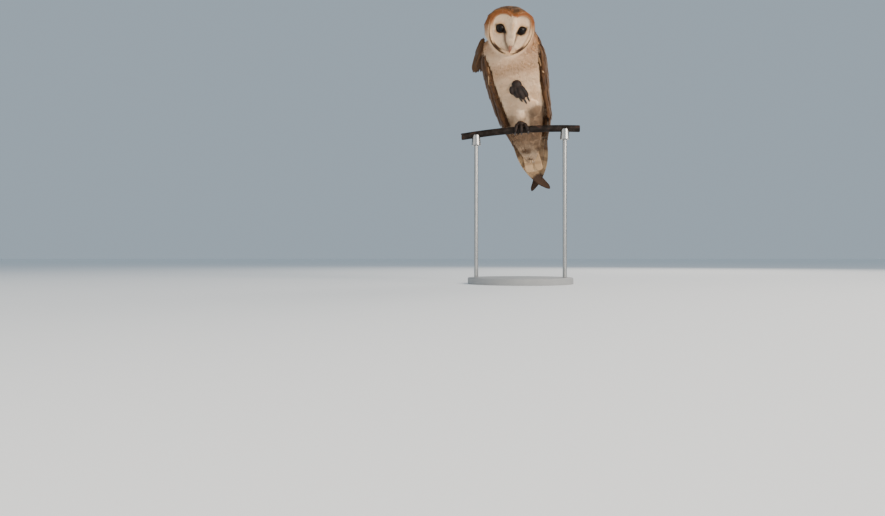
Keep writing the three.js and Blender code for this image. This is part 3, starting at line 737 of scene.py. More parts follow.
def coatTree():
    # scatters one feather shape over a skin, each along the skin's lie, and keeps the skin's markings on it
    tree = bpy.data.node_groups.new("coat", "GeometryNodeTree")
    made = Wiring(tree)
    sizes = (("Geometry", "Geometry", None), ("Feather", "Object", None), ("Cover", "String", "coverWhite"),
             ("Spacing", "Float", 0.003), ("Density", "Float", 1e5), ("Length", "Float", 0.01),
             ("Width", "Float", 0.006), ("Lift", "Float", 0.15), ("Turn", "Float", 0.15), ("Sink", "Float", 0.0005),
             ("Seed", "Int", 1), ("Material", "Material", None))
    for name, kind, value in sizes:
        socket = tree.interface.new_socket(name=name, in_out="INPUT", socket_type="NodeSocket" + kind)
        if value is not None:
            socket.default_value = value
    tree.interface.new_socket(name="Geometry", in_out="OUTPUT", socket_type="NodeSocketGeometry")
    source = tree.nodes.new("NodeGroupInput")
    given = {name: Wire(made, source.outputs[name]) for name, kind, value in sizes}

    def read(name, kind="FLOAT"):
        return made.add("GeometryNodeInputNamedAttribute", {"data_type": kind}, {"Name": name})

    def chance(low, high, salt):
        feeds = {2: low, 3: high, 8: given["Seed"] * 13 + salt}
        return made.add("FunctionNodeRandomValue", {"data_type": "FLOAT"}, feeds, out=1)

    cover = read(given["Cover"])
    feeds = {"Mesh": given["Geometry"], "Distance Min": given["Spacing"], "Density Max": given["Density"],
             "Density Factor": cover, "Seed": given["Seed"], "Selection": cover > 0.03}
    points = made.add("GeometryNodeDistributePointsOnFaces", {"distribute_method": "POISSON"}, feeds)
    normal = points.other("Normal")
    feeds = {"Geometry": points, "Name": "pick", "Value": chance(0.0, 1.0, 1)}
    points = made.add("GeometryNodeStoreNamedAttribute", {"data_type": "FLOAT", "domain": "POINT"}, feeds)
    sunk = made.add("ShaderNodeVectorMath", {"operation": "SCALE"}, {0: normal, "Scale": given["Sink"] * -1})
    points = made.add("GeometryNodeSetPosition", {}, {"Geometry": points, "Offset": sunk})
    feeds = {"Primary Axis": normal, "Secondary Axis": read("lie", "FLOAT_VECTOR")}
    aim = made.add("FunctionNodeAxesToRotation", {"primary_axis": "Z", "secondary_axis": "Y"}, feeds)
    turn = given["Turn"]
    feeds = {0: given["Lift"] * chance(0.6, 1.4, 2), 1: turn * chance(-1.0, 1.0, 3), 2: turn * chance(-1.0, 1.0, 4)}
    euler = made.add("ShaderNodeCombineXYZ", {}, feeds)
    tilt = made.add("FunctionNodeEulerToRotation", {}, {0: euler})
    aim = made.add("FunctionNodeRotateRotation", {"rotation_space": "LOCAL"}, {0: aim, 1: tilt})
    size = read("size") * chance(0.82, 1.15, 5)
    length = given["Length"] * size
    scale = made.add("ShaderNodeCombineXYZ", {}, {0: given["Width"] * size, 1: length, 2: length})
    feather = made.add("GeometryNodeObjectInfo", {}, {"Object": given["Feather"]}).other("Geometry")
    feeds = {"Points": points, "Instance": feather, "Rotation": aim, "Scale": scale}
    copies = made.add("GeometryNodeInstanceOnPoints", {}, feeds)
    whole = made.add("GeometryNodeRealizeInstances", {}, {"Geometry": copies})
    patch = made.add("ShaderNodeCombineXYZ", {}, {0: read("across") - 0.5, 1: read("along") - 0.5})
    feeds = {0: patch, 1: (0.003, 0.003, 0.003), 2: read("skinMap", "FLOAT_VECTOR")}
    spot = made.add("ShaderNodeVectorMath", {"operation": "MULTIPLY_ADD"}, feeds)
    feeds = {"Geometry": whole, "Name": "OFBake", "Value": spot}
    whole = made.add("GeometryNodeStoreNamedAttribute", {"data_type": "FLOAT2", "domain": "CORNER"}, feeds)
    whole = made.add("GeometryNodeSetMaterial", {}, {"Geometry": whole, "Material": given["Material"]})
    output = tree.nodes.new("NodeGroupOutput")
    tree.links.new(whole.socket, output.inputs[0])
    return tree


featherTree = coatTree()
inputIds = {item.name: item.identifier for item in featherTree.interface.items_tree if item.in_out == "INPUT"}


def scatter(name, material, slot, shape, cover, spacing, length, width, lift=9, turn=8, sink=0.5, seed=1):
    # a coat of one feather shape, in millimetres and degrees
    base = bpy.data.objects.new(name, coatBase)
    bpy.context.scene.collection.objects.link(base)
    modifier = base.modifiers.new("Coat", "NODES")
    modifier.node_group = featherTree
    values = {
        "Feather": shapes[shape], "Cover": cover, "Spacing": spacing * mm, "Density": 1.6 / (spacing * mm) ** 2,
        "Length": length * mm, "Width": width * mm, "Lift": math.radians(lift), "Turn": math.radians(turn),
        "Sink": sink * mm, "Seed": seed, "Material": material,
    }
    for key, value in values.items():
        modifier[inputIds[key]] = value
    applied(base)
    for layer in [layer for layer in base.data.attributes if layer.name in surplus]:
        base.data.attributes.remove(layer)
    base.data.shade_smooth()
    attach(base, "root")
    print(name, len(base.data.loop_triangles), "triangles")
    return base


surplus = ("skinMap", "lie", "size", "coverWhite", "coverGold", "coverCrown", "coverFace", "coverLeg", "coverWing")
coatBase = skin.data.copy()
coatBase.uv_layers[0].name = "skinMap"


# ---- plumage colours

# deepGold and ash are darker than the plumage's own gold and grey, partly painted shade over the crown; umber, the
# wings' dark brown, is partly painted shade
hues = dict(
    white=tint(254, 226, 194), cream=tint(244, 206, 164), buff=tint(192, 138, 84), gold=tint(156, 92, 40),
    deepGold=tint(134, 70, 24), ash=tint(66, 51, 38), dark=tint(48, 29, 15), faceWhite=tint(228, 188, 144),
    faceEdge=tint(198, 148, 102), sooty=tint(12, 7, 5), umber=tint(64, 36, 16), bibTone=tint(188, 140, 96),
    streakTone=tint(92, 56, 36), shadeTone=tint(122, 88, 60),
)


def plumage(name, bumpScale=1300):
    # the body's, crown's and face's feathers: white to gold by region, frosted grey behind, spotted at their tips
    paint = Paint(name, Specular_IOR_Level=0.15, Sheen_Weight=0.06, Sheen_Roughness=0.6)
    gold, dusk, pick = paint.value("gold"), paint.value("dusk"), paint.value("pick")
    along, across = paint.value("along"), paint.value("across")
    broad, cloud = paint.speckle(60, 2), paint.speckle(120, 3)
    fine = paint.speckle(bumpScale, 2)
    white = paint.mix((broad.step(0.35, 0.8) * 0.5 + pick * 0.25).held(), hues["white"], hues["cream"])
    warm = paint.mix((broad.step(0.3, 0.7) * 0.5 + pick * 0.5).held(), hues["gold"], hues["buff"])
    colour = paint.mix((gold * (0.8 + 0.35 * pick)).held(), white, warm)
    colour = paint.mix((paint.value("bib") * (0.4 + 0.45 * pick)).held(), colour, hues["bibTone"])
    # painted shade from the shade mask, with the undertail spots and the wings' buff inner faces
    colour = paint.mix((paint.value("shade") * 0.85).held(), colour, hues["shadeTone"])
    # dark brown from the brown mask, partly painted shade
    colour = paint.mix(paint.value("brown"), colour, hues["umber"])
    colour = paint.mix((paint.value("goldRim") * (0.75 + 0.35 * pick)).held(), colour, hues["deepGold"])
    # grey frost; at the top of the crown partly painted shade
    frost = (dusk * (0.3 + fine.step(0.35, 0.65) * 0.25 + cloud.step(0.35, 0.65) * 0.4)).held()
    colour = paint.mix(frost, colour, hues["ash"])
    faceTone = paint.mix((0.25 * pick + 0.3 * broad).held(), hues["faceWhite"], hues["faceEdge"])
    colour = paint.mix(paint.value("face"), colour, faceTone)
    wide, far = (across - 0.5) * 6, (along - 0.7) * 11
    spot = (wide * wide + far * far).step(1.6, 0.5)
    speck = paint.value("speck")
    colour = paint.mix((spot * (pick > (1.02 - speck * 0.3)) * 0.8).held(), colour, hues["dark"])
    tip = (along - 0.86) * 11
    pearl = (wide * wide + tip * tip).step(0.7, 0.2)
    colour = paint.mix((pearl * (pick > 0.82) * dusk * speck * 0.6).held(), colour, hues["cream"])
    colour = paint.mix((paint.value("rim") * 0.9).held(), colour, hues["dark"])
    colour = paint.mix((paint.value("streak") * 0.85).held(), colour, hues["streakTone"])
    colour = paint.mix((paint.value("smudge") * 0.97).held(), colour, hues["sooty"])
    paint.set("Base Color", colour)
    paint.set("Roughness", 0.72 + 0.2 * fine)
    barbs = fine + (along * 150 + (across - 0.5).size() * 110).maths("SINE") * 0.3
    paint.dent(barbs, 0.0001, 0.5)
    return paint.material


breastPlumage = plumage("breastPlumage")
facePlumage = plumage("facePlumage", 1700)
crownPlumage = plumage("crownPlumage", 1500)
finished(skin, breastPlumage, fleshNodes)

print("coats")
coats = dict(
    breastFeathers=dict(material=breastPlumage, slot="breast_feathers", shape="plume", cover="coverWhite",
                        spacing=2.15, length=10, width=5.2, lift=16, turn=9, seed=3),
    breastDown=dict(material=breastPlumage, slot="breast_feathers", shape="barb", cover="coverWhite",
                    spacing=0.92, length=8, width=0.85, lift=13, turn=12, sink=0.2, seed=4),
    backFeathers=dict(material=breastPlumage, slot="breast_feathers", shape="vane", cover="coverGold",
                      spacing=2.4, length=11, width=5.4, lift=11, turn=7, seed=5),
    backDown=dict(material=breastPlumage, slot="breast_feathers", shape="barb", cover="coverGold",
                  spacing=1.2, length=7, width=0.9, lift=17, turn=13, sink=0.2, seed=6),
    crownFeathers=dict(material=crownPlumage, slot="crown_feathers", shape="vane", cover="coverCrown",
                       spacing=1.7, length=6.5, width=3.2, lift=12, turn=7, seed=7),
    crownDown=dict(material=crownPlumage, slot="crown_feathers", shape="barb", cover="coverCrown",
                   spacing=0.85, length=6, width=0.7, lift=14, turn=12, sink=0.2, seed=10),
    faceBarbs=dict(material=facePlumage, slot="face_feathers", shape="barb", cover="coverFace",
                   spacing=0.6, length=6, width=0.6, lift=8, turn=8, sink=0.2, seed=8),
    legDown=dict(material=breastPlumage, slot="breast_feathers", shape="tuft", cover="coverLeg",
                 spacing=1.15, length=7, width=0.9, lift=15, turn=13, seed=9),
)
for name, settings in coats.items():
    scatter(name, **settings)


# ---- blades: long feathers built one by one

def blades(name, material, sheets, replaced=(), smooth=True):
    # closed thin sheets, each a grid of points (n, m, 3), how far its underside lies from it, and its numbers
    points, faces, numbers, uv = [], [], {}, []
    start = 0
    for place, sheet in enumerate(sheets):
        top, down = sheet["top"], sheet["down"]
        n, m = top.shape[:2]
        grid = np.arange(n * m).reshape(n, m) + start
        under = grid + n * m
        points += [top.reshape(-1, 3), (top + down).reshape(-1, 3)]
        for a, flip in ((grid, False), (under, True)):
            quads = np.stack([a[:-1, :-1], a[:-1, 1:], a[1:, 1:], a[1:, :-1]], -1).reshape(-1, 4)
            faces.append(quads[:, ::-1] if flip else quads)
        ring = np.concatenate([grid[0, :-1], grid[:-1, -1], grid[-1, :0:-1], grid[:0:-1, 0]])
        low = ring + n * m
        faces.append(np.stack([ring, low, np.roll(low, -1), np.roll(ring, -1)], -1))
        across, along = np.meshgrid(np.linspace(0, 1, m), sheet["steps"])
        values = dict(across=across, along=along, **sheet["numbers"])
        for key, value in values.items():
            value = np.broadcast_to(value, (n, m)).ravel()
            numbers.setdefault(key, []).extend([value, value])
        numbers.setdefault("upper", []).extend([np.ones(n * m), np.zeros(n * m)])
        x, y, w, h = sheet.get("patch", (place % 8 / 8, place // 8 % 8 / 8, 0.118, 0.118))
        spot = np.stack([x + across * w, y + along * h * 0.5], -1).reshape(-1, 2)
        uv += [spot, spot + [0, h * 0.5]]
        start += 2 * n * m
    points, faces, uv = np.concatenate(points), np.concatenate(faces), np.concatenate(uv)
    piece = newPiece(name, points, faces, smooth)
    mesh = piece.data
    fixed = bmesh.new()
    fixed.from_mesh(mesh)
    bmesh.ops.recalc_face_normals(fixed, faces=fixed.faces)
    fixed.to_mesh(mesh)
    fixed.free()
    for key, value in numbers.items():
        note(mesh, key, np.concatenate(value))
    layer = mesh.uv_layers.new(name="OFBake")
    corners = np.empty(len(mesh.loops), int)
    mesh.loops.foreach_get("vertex_index", corners)
    layer.data.foreach_set("uv", uv[corners].astype(np.float32).ravel())
    if smooth:
        mesh.shade_smooth()
    print(name, 2 * len(faces), "triangles")
    return finished(piece, material, replaced)


def blade(spine, side, out, width, thick=0.35, camber=0.1, tipLength=0.8, rows=8, columns=5, lean=0.0, patch=None,
          **numbers):
    # one feather along a spine of points, in metres; side and out give its flat and its outer face
    at = np.linspace(0, 1, len(spine))
    length = np.sum(np.linalg.norm(np.diff(spine, axis=0), axis=1))
    end = min(0.6, tipLength * width * mm / length)  # the share of it that rounds off into the tip
    turn = np.linspace(0, math.radians(88), 7)
    v = np.concatenate([np.linspace(0, 1 - end, rows, endpoint=False), 1 - end + end * np.sin(turn)])
    line, side, out = (np.stack([np.interp(v, at, w[:, i]) for i in range(3)], 1) for w in (spine, side, out))
    half = 0.5 * width * mm * np.minimum(1, (v / 0.22 + 0.12) ** 0.45)
    half = half * np.concatenate([np.ones(rows), np.cos(turn)])
    a = np.linspace(-1, 1, columns)
    top = line[:, None] + side[:, None] * ((a + lean * (1 - a * a)) * half[:, None])[..., None]
    top = top - out[:, None] * (camber * (a * a) * half[:, None])[..., None]
    top = top + out[:, None] * (0.12 * mm * bump(a, 0, 0.25) * (1 - v[:, None]))[..., None]
    down = -out[:, None] * (thick * mm * (1 - 0.6 * np.abs(a)) * (1 - 0.5 * v[:, None]))[..., None]
    numbers = {k: np.interp(v, at, w)[:, None] if np.ndim(w) == 1 else w for k, w in numbers.items()}
    sheet = dict(top=top, down=down, steps=v, numbers=numbers)
    return sheet if patch is None else dict(sheet, patch=patch)


skinPoints = [v.co.copy() for v in skin.data.vertices]
skinTree = BVHTree.FromPolygons(skinPoints, [p.vertices for p in skin.data.polygons])
wingFaces = [p.vertices for p in skin.data.polygons if min(lay["onWing"][i] for i in p.vertices) > 0.4]
wingTree = BVHTree.FromPolygons(skinPoints, wingFaces)


def skinSpots(points):
    # the place on the skin's unwrap below each point
    mesh = skin.data
    uv = np.empty(len(mesh.loops) * 2)
    mesh.uv_layers[0].data.foreach_get("uv", uv)
    uv = uv.reshape(-1, 2)
    return [uv[mesh.polygons[skinTree.find_nearest(p)[2]].loop_start] for p in points]


# ---- the ruff round the face

print("ruff")
ruff = dict(
    rows=(  # place on the rim, feather length and width, how far it stands up, count, how far back
        (1.0, 6.4, 1.35, 24, 360, 0.6), (0.962, 5.4, 1.25, 32, 360, 0.3), (0.925, 5.0, 1.2, 24, 340, 0.2),
    ),
    line=(146, 31),  # where the dark line under the face is thickest, in degrees from the top, and over how many
)


def ruffFeathers():
    chance = np.random.default_rng(11)
    sheets = []
    for reach, length, width, stand, count, back in ruff["rows"]:
        for i in range(count):
            angle = 2 * math.pi * (i + chance.uniform(-0.3, 0.3)) / count
            radius = float(rimAt(np.array(angle))) * reach
            flat = np.array([math.sin(angle), 0, math.cos(angle)])
            slope = 0.55 if abs(angle - math.pi) < 2 else 0.35
            outward = unit(flat + np.array([chance.uniform(-0.06, 0.06), -math.tan(math.radians(stand)) * 0.6, 0]))
            long = length * chance.uniform(0.88, 1.1)
            x, z = flat[0] * radius, flat[2] * radius
            root = np.array([x, float(maskDepth(x, z)) + back, z]) - outward * length * 0.45
            curl = np.array([0, 1, 0]) * slope
            steps = np.linspace(0, 1, 4)[:, None]
            spine = root + outward * long * steps + curl * (steps ** 2) * 2.2
            along = unit(np.gradient(spine, axis=0))
            side = unit(np.cross(along, np.array([0, -1.0, 0])))
            face3 = unit(np.cross(side, along))
            turn = math.degrees(min(angle, 2 * math.pi - angle))
            down = float(ease(68, 100, turn))
            thick = 0.35 + 0.65 * float(bump(turn, *ruff["line"]))
            thick = thick * (1 - 0.85 * float(ease(166, 176, turn)))
            share = {1.0: float(ease(0.45, 0.9, thick)), 0.962: 1.0, 0.925: float(ease(0.75, 1.0, thick))}[reach]
            spine, side, face3 = outOf(headFrame, spine), aimed(headFrame, side), aimed(headFrame, face3)
            patch = (*(skinSpots([spine[0]])[0] - 0.0015), 0.003, 0.003)
            sheets.append(blade(spine, side, face3, width * chance.uniform(0.8, 1.25), 0.2, 0.2, 1.8, 2, 3,
                                patch=patch, pick=chance.uniform(), dark=down * share * min(1, thick * 1.6),
                                inner=1.0 if reach > 0.99 else 0.0, ring=1 - down))
    return sheets


def ruffPaint():
    paint = Paint("ruffPlumage", Specular_IOR_Level=0.15, Sheen_Weight=0.2)
    along, pick, inner = paint.value("along"), paint.value("pick"), paint.value("inner")
    pale = paint.mix(pick * 0.5, hues["cream"], hues["buff"])
    warm = paint.mix(pick * 0.6, hues["deepGold"], hues["gold"])
    colour = paint.mix((paint.value("ring") * (0.55 + 0.5 * along)).held(), pale, warm)
    part = along.step(0.05, 0.3) * (1 - inner) + along.step(0.85, 0.6) * inner
    colour = paint.mix((part * paint.value("dark")).held(), colour, tint(66, 42, 24))
    paint.set("Base Color", colour)
    paint.set("Roughness", 0.65 + 0.2 * paint.speckle(1500))
    paint.dent((along * 60 + (paint.value("across") - 0.5).size() * 30).maths("SINE"), 0.00006, 0.4)
    return paint.material


ruffPlumage = ruffPaint()
blades("ruff", ruffPlumage, ruffFeathers())

# ---- eyes and bill

print("eyes and bill")
eye = dict(x=19.5, y=-10.0, z=0.0, radius=8.2, opening=5.3, corner=1.7, brow=0.12, lid=2.3, tilt=32)


def lathe(profile, sides):
    # points round the z axis from (radius, height) pairs, and the faces between them
    points, faces = [], []
    for radius, height in profile:
        for i in range(sides):
            a = 2 * math.pi * i / sides
            points.append((radius * math.cos(a), radius * math.sin(a), height))
    for row in range(len(profile) - 1):
        for i in range(sides):
            j = (i + 1) % sides
            faces.append((row * sides + i, row * sides + j, (row + 1) * sides + j, (row + 1) * sides + i))
    faces.append(range(sides - 1, -1, -1))
    faces.append(range((len(profile) - 1) * sides, len(profile) * sides))
    return np.array(points), faces


def solidPiece(name, parts, material, replaced, split=None):
    # closed meshes joined, welded and turned outwards
    points, faces, count = [], [], 0
    for p, f in parts:
        points.append(np.asarray(p))
        faces += [tuple(i + count for i in face) for face in f]
        count += len(p)
    piece = newPiece(name, np.concatenate(points), faces)
    fixed = bmesh.new()
    fixed.from_mesh(piece.data)
    bmesh.ops.remove_doubles(fixed, verts=fixed.verts, dist=1e-6)
    bmesh.ops.recalc_face_normals(fixed, faces=fixed.faces)
    fixed.to_mesh(piece.data)
    fixed.free()
    piece.data.shade_smooth()
    if split:
        piece.data.set_sharp_from_angle(angle=math.radians(split))
    return finished(piece, material, replaced)


def skinDepth(x, z):
    # how far forward the skin comes at a place on the face
    start, way = outOf(headFrame, [(x, -60, z)])[0], aimed(headFrame, [(0, 1.0, 0)])[0]
    hit = skinTree.ray_cast(Vector(start), Vector(way), 0.08)[0]
    return into(headFrame, [hit])[0][1] if hit is not None else eye["y"] - 5


def eyeParts():
    glass = Paint("eyeGlass", Roughness=0.06, Specular_IOR_Level=0.18)
    away = glass.value("away")
    iris = glass.mix(away.step(0.46, 0.62), tint(4, 3, 3), tint(30, 18, 12))
    iris = glass.mix((away.step(0.66, 0.74) * 0.8).held(), iris, tint(12, 8, 6))
    streaks = glass.speckle(900, 2)
    glass.set("Base Color", glass.mix((streaks * 0.35 * away.step(0.5, 0.6)).held(), iris, tint(50, 30, 18)))
    lid = Paint("lidSkin", Roughness=0.55, Specular_IOR_Level=0.4)
    folds = lid.speckle(1800, 3)
    lid.set("Base Color", lid.mix(folds, tint(12, 8, 6), tint(28, 18, 13)))
    lid.dent(folds, 0.0002, 0.6)
    for side, word in ((1, "left"), (-1, "right")):
        profile = [(math.sin(a) * eye["radius"], math.cos(a) * eye["radius"] * (1 + 0.035 * bump(a, 0, 0.5)))
                   for a in np.linspace(0.02, math.pi - 0.02, 26)]
        ball, faces = lathe(profile, 40)
        away = np.hypot(ball[:, 0], ball[:, 1]) / eye["radius"] + (ball[:, 2] < 0)
        ball = np.stack([ball[:, 0] + side * eye["x"], -ball[:, 2] + eye["y"], ball[:, 1] + eye["z"]], 1)
        piece = newPiece(f"eye_{word}_ball", outOf(headFrame, ball), faces)
        note(piece.data, "away", away)
        fixed = bmesh.new()
        fixed.from_mesh(piece.data)
        bmesh.ops.recalc_face_normals(fixed, faces=fixed.faces)
        fixed.to_mesh(piece.data)
        fixed.free()
        piece.data.shade_smooth()
        finished(piece, glass.material, [f"eye_{word}"])
        # a dark lid from the ball out to the skin, drawn to a corner at its inner lower and outer upper sides
        ring = np.linspace(0, 2 * math.pi, 49)[:-1]
        point = np.abs(np.cos(ring - math.radians(eye["tilt"]))) ** 6
        opening = eye["opening"] * (1 - eye["brow"] * np.maximum(0, np.sin(ring))) + eye["corner"] * point
        outer = opening + eye["lid"]
        flat = np.stack([side * np.cos(ring), np.sin(ring)], 1)
        ball = eye["y"] - np.sqrt(eye["radius"] ** 2 - opening ** 2)
        skinAt = [skinDepth(side * eye["x"] + r * f[0], eye["z"] + r * f[1]) for r, f in zip(outer, flat)]
        profile = ((opening, ball + 0.4), (opening + 0.1, ball - 0.3), (opening + 0.7, ball - 0.5),
                   (outer, np.array(skinAt) + 0.1), (outer, np.array(skinAt) + 1.2), (opening + 0.5, ball + 1.5))
        grid = np.stack([np.stack([side * eye["x"] + r * flat[:, 0], y, eye["z"] + r * flat[:, 1]], 1) for r, y in profile], 1)
        ids = np.arange(48 * 6).reshape(48, 6)
        nextRing, nextSide = np.roll(ids, -1, axis=0), np.roll(ids, -1, axis=1)
        quads = np.stack([ids, nextSide, np.roll(nextRing, -1, axis=1), nextRing], -1).reshape(-1, 4)
        solidPiece(f"eye_{word}_lid", [(outOf(headFrame, grid.reshape(-1, 3)), quads.tolist())], lid.material,
                   [])


eyeParts()

bill = dict(
    upper=[[0, -19, -10], [0, -24.5, -15], [0, -29.4, -21], [0, -32.6, -27.5], [0, -32.6, -34], [0, -30.3, -38.5]],
    upperRadii=[5.2, 5.0, 4.6, 4.0, 2.6, 0.5],
    lower=[[0, -19, -25], [0, -25, -29], [0, -28.6, -33.2]], lowerRadii=[4, 3, 0.8],
)


def billPaint():
    paint = Paint("billHorn", Specular_IOR_Level=0.5, Coat_Roughness=0.25, Subsurface_Weight=0.08)
    grain = paint.speckle(260, 3, stretch=(1, 1, 3))
    broad = paint.speckle(120, 1)
    colour = paint.mix(grain, tint(132, 84, 60), tint(164, 116, 88))
    colour = paint.mix((broad.step(0.5, 0.8) * 0.5).held(), colour, tint(112, 70, 52))
    paint.set("Base Color", colour)
    paint.set("Roughness", 0.32 + 0.15 * grain)
    paint.dent(grain, 0.0002, 0.3)
    return paint.material


billHorn = billPaint()
for part, flat in (("upper", 1.0), ("lower", 0.8)):
    points, faces = tube(bill[part], bill[part + "Radii"], 20, 28, blunt=14, flat=flat)
    points[:, 0] *= 0.86
    solidPiece(f"bill_{part}_horn", [(outOf(headFrame, points), faces)], billHorn, [f"bill_{part}"])

# ---- feet

print("feet")
toes = dict(
    grip=((-5.5, -4, 84, -42, 62, "inner"), (1.5, 1, 84, -50, 62, "middle"), (8, 7, 82, -30, 58, "outer"),
          (-1, -2, 98, 205, -60, "hind")),  # x, splay, from, to, claw, name
    radius=3.1, tip=2.5, claw=2.0, clawTip=0.3, reach=6.5 + 0.3 + 3.1,
    fist=(-3, -49, 98), fistLean=20,
    hang=((-5.5, 23, 6, 5, "inner"), (-0.5, 28, 9, 6, "middle"), (5.5, 25, 6, 5, "outer"), (-10.5, 14, 4, 4, "hind")),
)
footFrame = Matrix.Translation((0, 0, place["perchTop"]))


def rodAxisHeight(x):
    def drop(at):
        return place["bend"] - math.sqrt(place["bend"] ** 2 - (at - place["crownX"]) ** 2)
    return place["perchTop"] - place["perchRadius"] + drop(0) - drop(x)


def skinPaint():
    paint = Paint("footScales", Specular_IOR_Level=0.35)
    scales = paint.cells(1000)
    broad = paint.speckle(150, 2)
    colour = paint.mix(broad.step(0.3, 0.7), tint(26, 15, 10), tint(50, 32, 22))
    colour = paint.mix((scales.step(0.05, 0.6) * 0.7 + 0.2).held(), tint(18, 11, 8), colour)
    paint.set("Base Color", colour)
    paint.set("Roughness", 0.5 + 0.2 * scales)
    paint.dent(scales, 0.0003, 0.7)
    return paint.material


def clawPaint():
    paint = Paint("clawHorn", Specular_IOR_Level=0.5, Coat_Weight=0.25)
    grain = paint.speckle(700, 3)
    paint.set("Base Color", paint.mix(grain, tint(26, 20, 18), tint(58, 46, 40)))
    paint.set("Roughness", 0.25 + 0.2 * grain)
    paint.dent(grain, 0.0001, 0.3)
    return paint.material


def talons():
    # claws curve round the rod on the standing foot, and hang from the drawn-up one
    footScales, clawHorn = skinPaint(), clawPaint()
    grips, hangs = [], []
    for x, splay, start, end, claw, name in toes["grip"]:
        path = []
        for s in np.linspace(0, 1, 5):
            angle, shift = math.radians(end - claw * (s - 0.1)), x + splay * (1 + 0.1 * s)
            reach = toes["reach"] - 1.7 * s ** 2
            path.append((shift, -math.cos(angle) * reach, rodAxisHeight(shift) - place["perchTop"] + math.sin(angle) * reach))
        radii = np.array([1.0, 0.94, 0.76, 0.48, 0.15]) * toes["claw"]
        points, faces = tube(path, radii, 14, 16, blunt=40, flat=0.85)
        solidPiece(f"claw_right_{name}_horn", [(outOf(footFrame, points), faces)], clawHorn,
                   [f"claw_right_{name}"])
    lean = math.tan(math.radians(toes["fistLean"]))
    fx, fy, fz = toes["fist"]
    for x, drop, out, curl, name in toes["hang"]:
        spots = ((drop - 1, 0.3, 1.25), (drop + 4, 0.5, 1.2), (drop + 7.5, 1.2, 1.12), (drop + 9, 2.2, 1.05))
        path = [(fx + x * wide + lean * down, fy - (out - curl * share), fz - down) for down, share, wide in spots]
        points, faces = tube(path, np.array([1.0, 0.9, 0.6, 0.15]) * toes["claw"], 14, 16, blunt=40)
        solidPiece(f"claw_left_{name}_horn", [(outOf(bodyFrame, points), faces)], clawHorn,
                   [f"claw_left_{name}"])
    for word, extra in (("right", ["foot_right"]), ("left", ["foot_left"])):
        names = [f"toe_{word}_{t}" for t in ("inner", "middle", "outer", "hind")] + extra
        piece = fused(joinedNodes(names, f"foot_{word}_skin", 0.3 * mm), 0.55 * mm, 14)
        piece.data.shade_smooth()
        finished(piece, footScales, names)


talons()

# ---- the feathers of the wings

print("wings")
cuff = dict(count=34, wide=10.5, tall=9, behind=9, length=10, width=3.6)


def cuffSheets():
    # short feathers from the belly round the root of the drawn-up foot
    chance = np.random.default_rng(71)
    fx, fy, fz = toes["fist"]
    sheets = []
    for i in range(cuff["count"]):
        a = 2 * math.pi * (i + chance.uniform(-0.3, 0.3)) / cuff["count"]
        ring = np.array([cuff["wide"] * math.cos(a), 0, cuff["tall"] * math.sin(a)])
        centre = np.array([fx - 1, fy, fz + 3.0])
        root, tip = centre + ring * 1.15 + [0, cuff["behind"] + 9, 2], centre + ring * 0.72 + [0, 5 + chance.uniform(-1, 2), -2]
        s = np.linspace(0, 1, 8)[:, None]
        spine = root + (tip - root) * s + unit(ring) * (2.2 * np.sin(math.pi * s))
        along = unit(np.gradient(spine, axis=0))
        out = unit(ring + [0, -2, 0]) - along * (along @ unit(ring + [0, -2, 0]))[:, None]
        sheets.append(blade(outOf(bodyFrame, spine), aimed(bodyFrame, unit(np.cross(out, along))),
                            aimed(bodyFrame, unit(out)), cuff["width"] * chance.uniform(0.7, 1.2), 0.25, 0.2, 1.6, 4, 5,
                            pick=chance.uniform()))
    return sheets


blades("foot_left_cuff", breastPlumage, cuffSheets())


def onSkin(points, tree=None):
    # the nearest places on the skin to places in the bird's frame, and the way out of it there
    found = [(tree or skinTree).find_nearest(Vector(p)) for p in outOf(bodyFrame, points)]
    return into(bodyFrame, [f[0] for f in found]), np.array([f[1] for f in found]) @ np.array(bodyFrame)[:3, :3]


def under(points, out, usual, reach=16):
    # how deep the skin lies under places off the bird, looking back the way they face, kept smooth along them
    starts, ways = outOf(bodyFrame, points + out * reach), aimed(bodyFrame, -out)
    found = [skinTree.ray_cast(Vector(a), Vector(b), 0.04)[3] for a, b in zip(starts, ways)]
    depth = np.array([usual if d is None else min(d / mm - reach, usual) for d in found])
    return evened(depth[:, None], 6)


def struck(tree, starts, ways):
    # where lines in the bird's frame strike the skin, or None if one of them doesn't
    found = [tree.ray_cast(Vector(a), Vector(b), 0.06) for a, b in zip(outOf(bodyFrame, starts), aimed(bodyFrame, ways))]
    if any(f[0] is None for f in found):
        return None
    return into(bodyFrame, [f[0] for f in found])


def evened(rows, times=3):
    # numbers along a feather, smoothed so that it bends gently
    for i in range(times):
        rows = np.concatenate([rows[:1], (rows[:-2] + 2 * rows[1:-1] + rows[2:]) / 4, rows[-1:]])
    return rows


def laidFeather(base, out, ahead, width, lift, roll=5.0, **numbers):
    # a feather over places on the bird, standing off them by more and more, its front edge a little up
    s = np.linspace(0, 1, len(base))[:, None]
    base, out = evened(base), unit(evened(out))
    spine = base + out * (lift[0] + (lift[1] - lift[0]) * s)
    along = unit(np.gradient(spine, axis=0))
    across = unit(np.cross(out, along))
    across = across * np.sign(np.sum(across * ahead, axis=1, keepdims=True))
    out = unit(out - along * np.sum(out * along, axis=1, keepdims=True))
    c, d = math.cos(math.radians(roll)), math.sin(math.radians(roll))
    return blade(outOf(bodyFrame, spine), aimed(bodyFrame, across * c - out * d), aimed(bodyFrame, out * c + across * d),
                 width, **numbers)


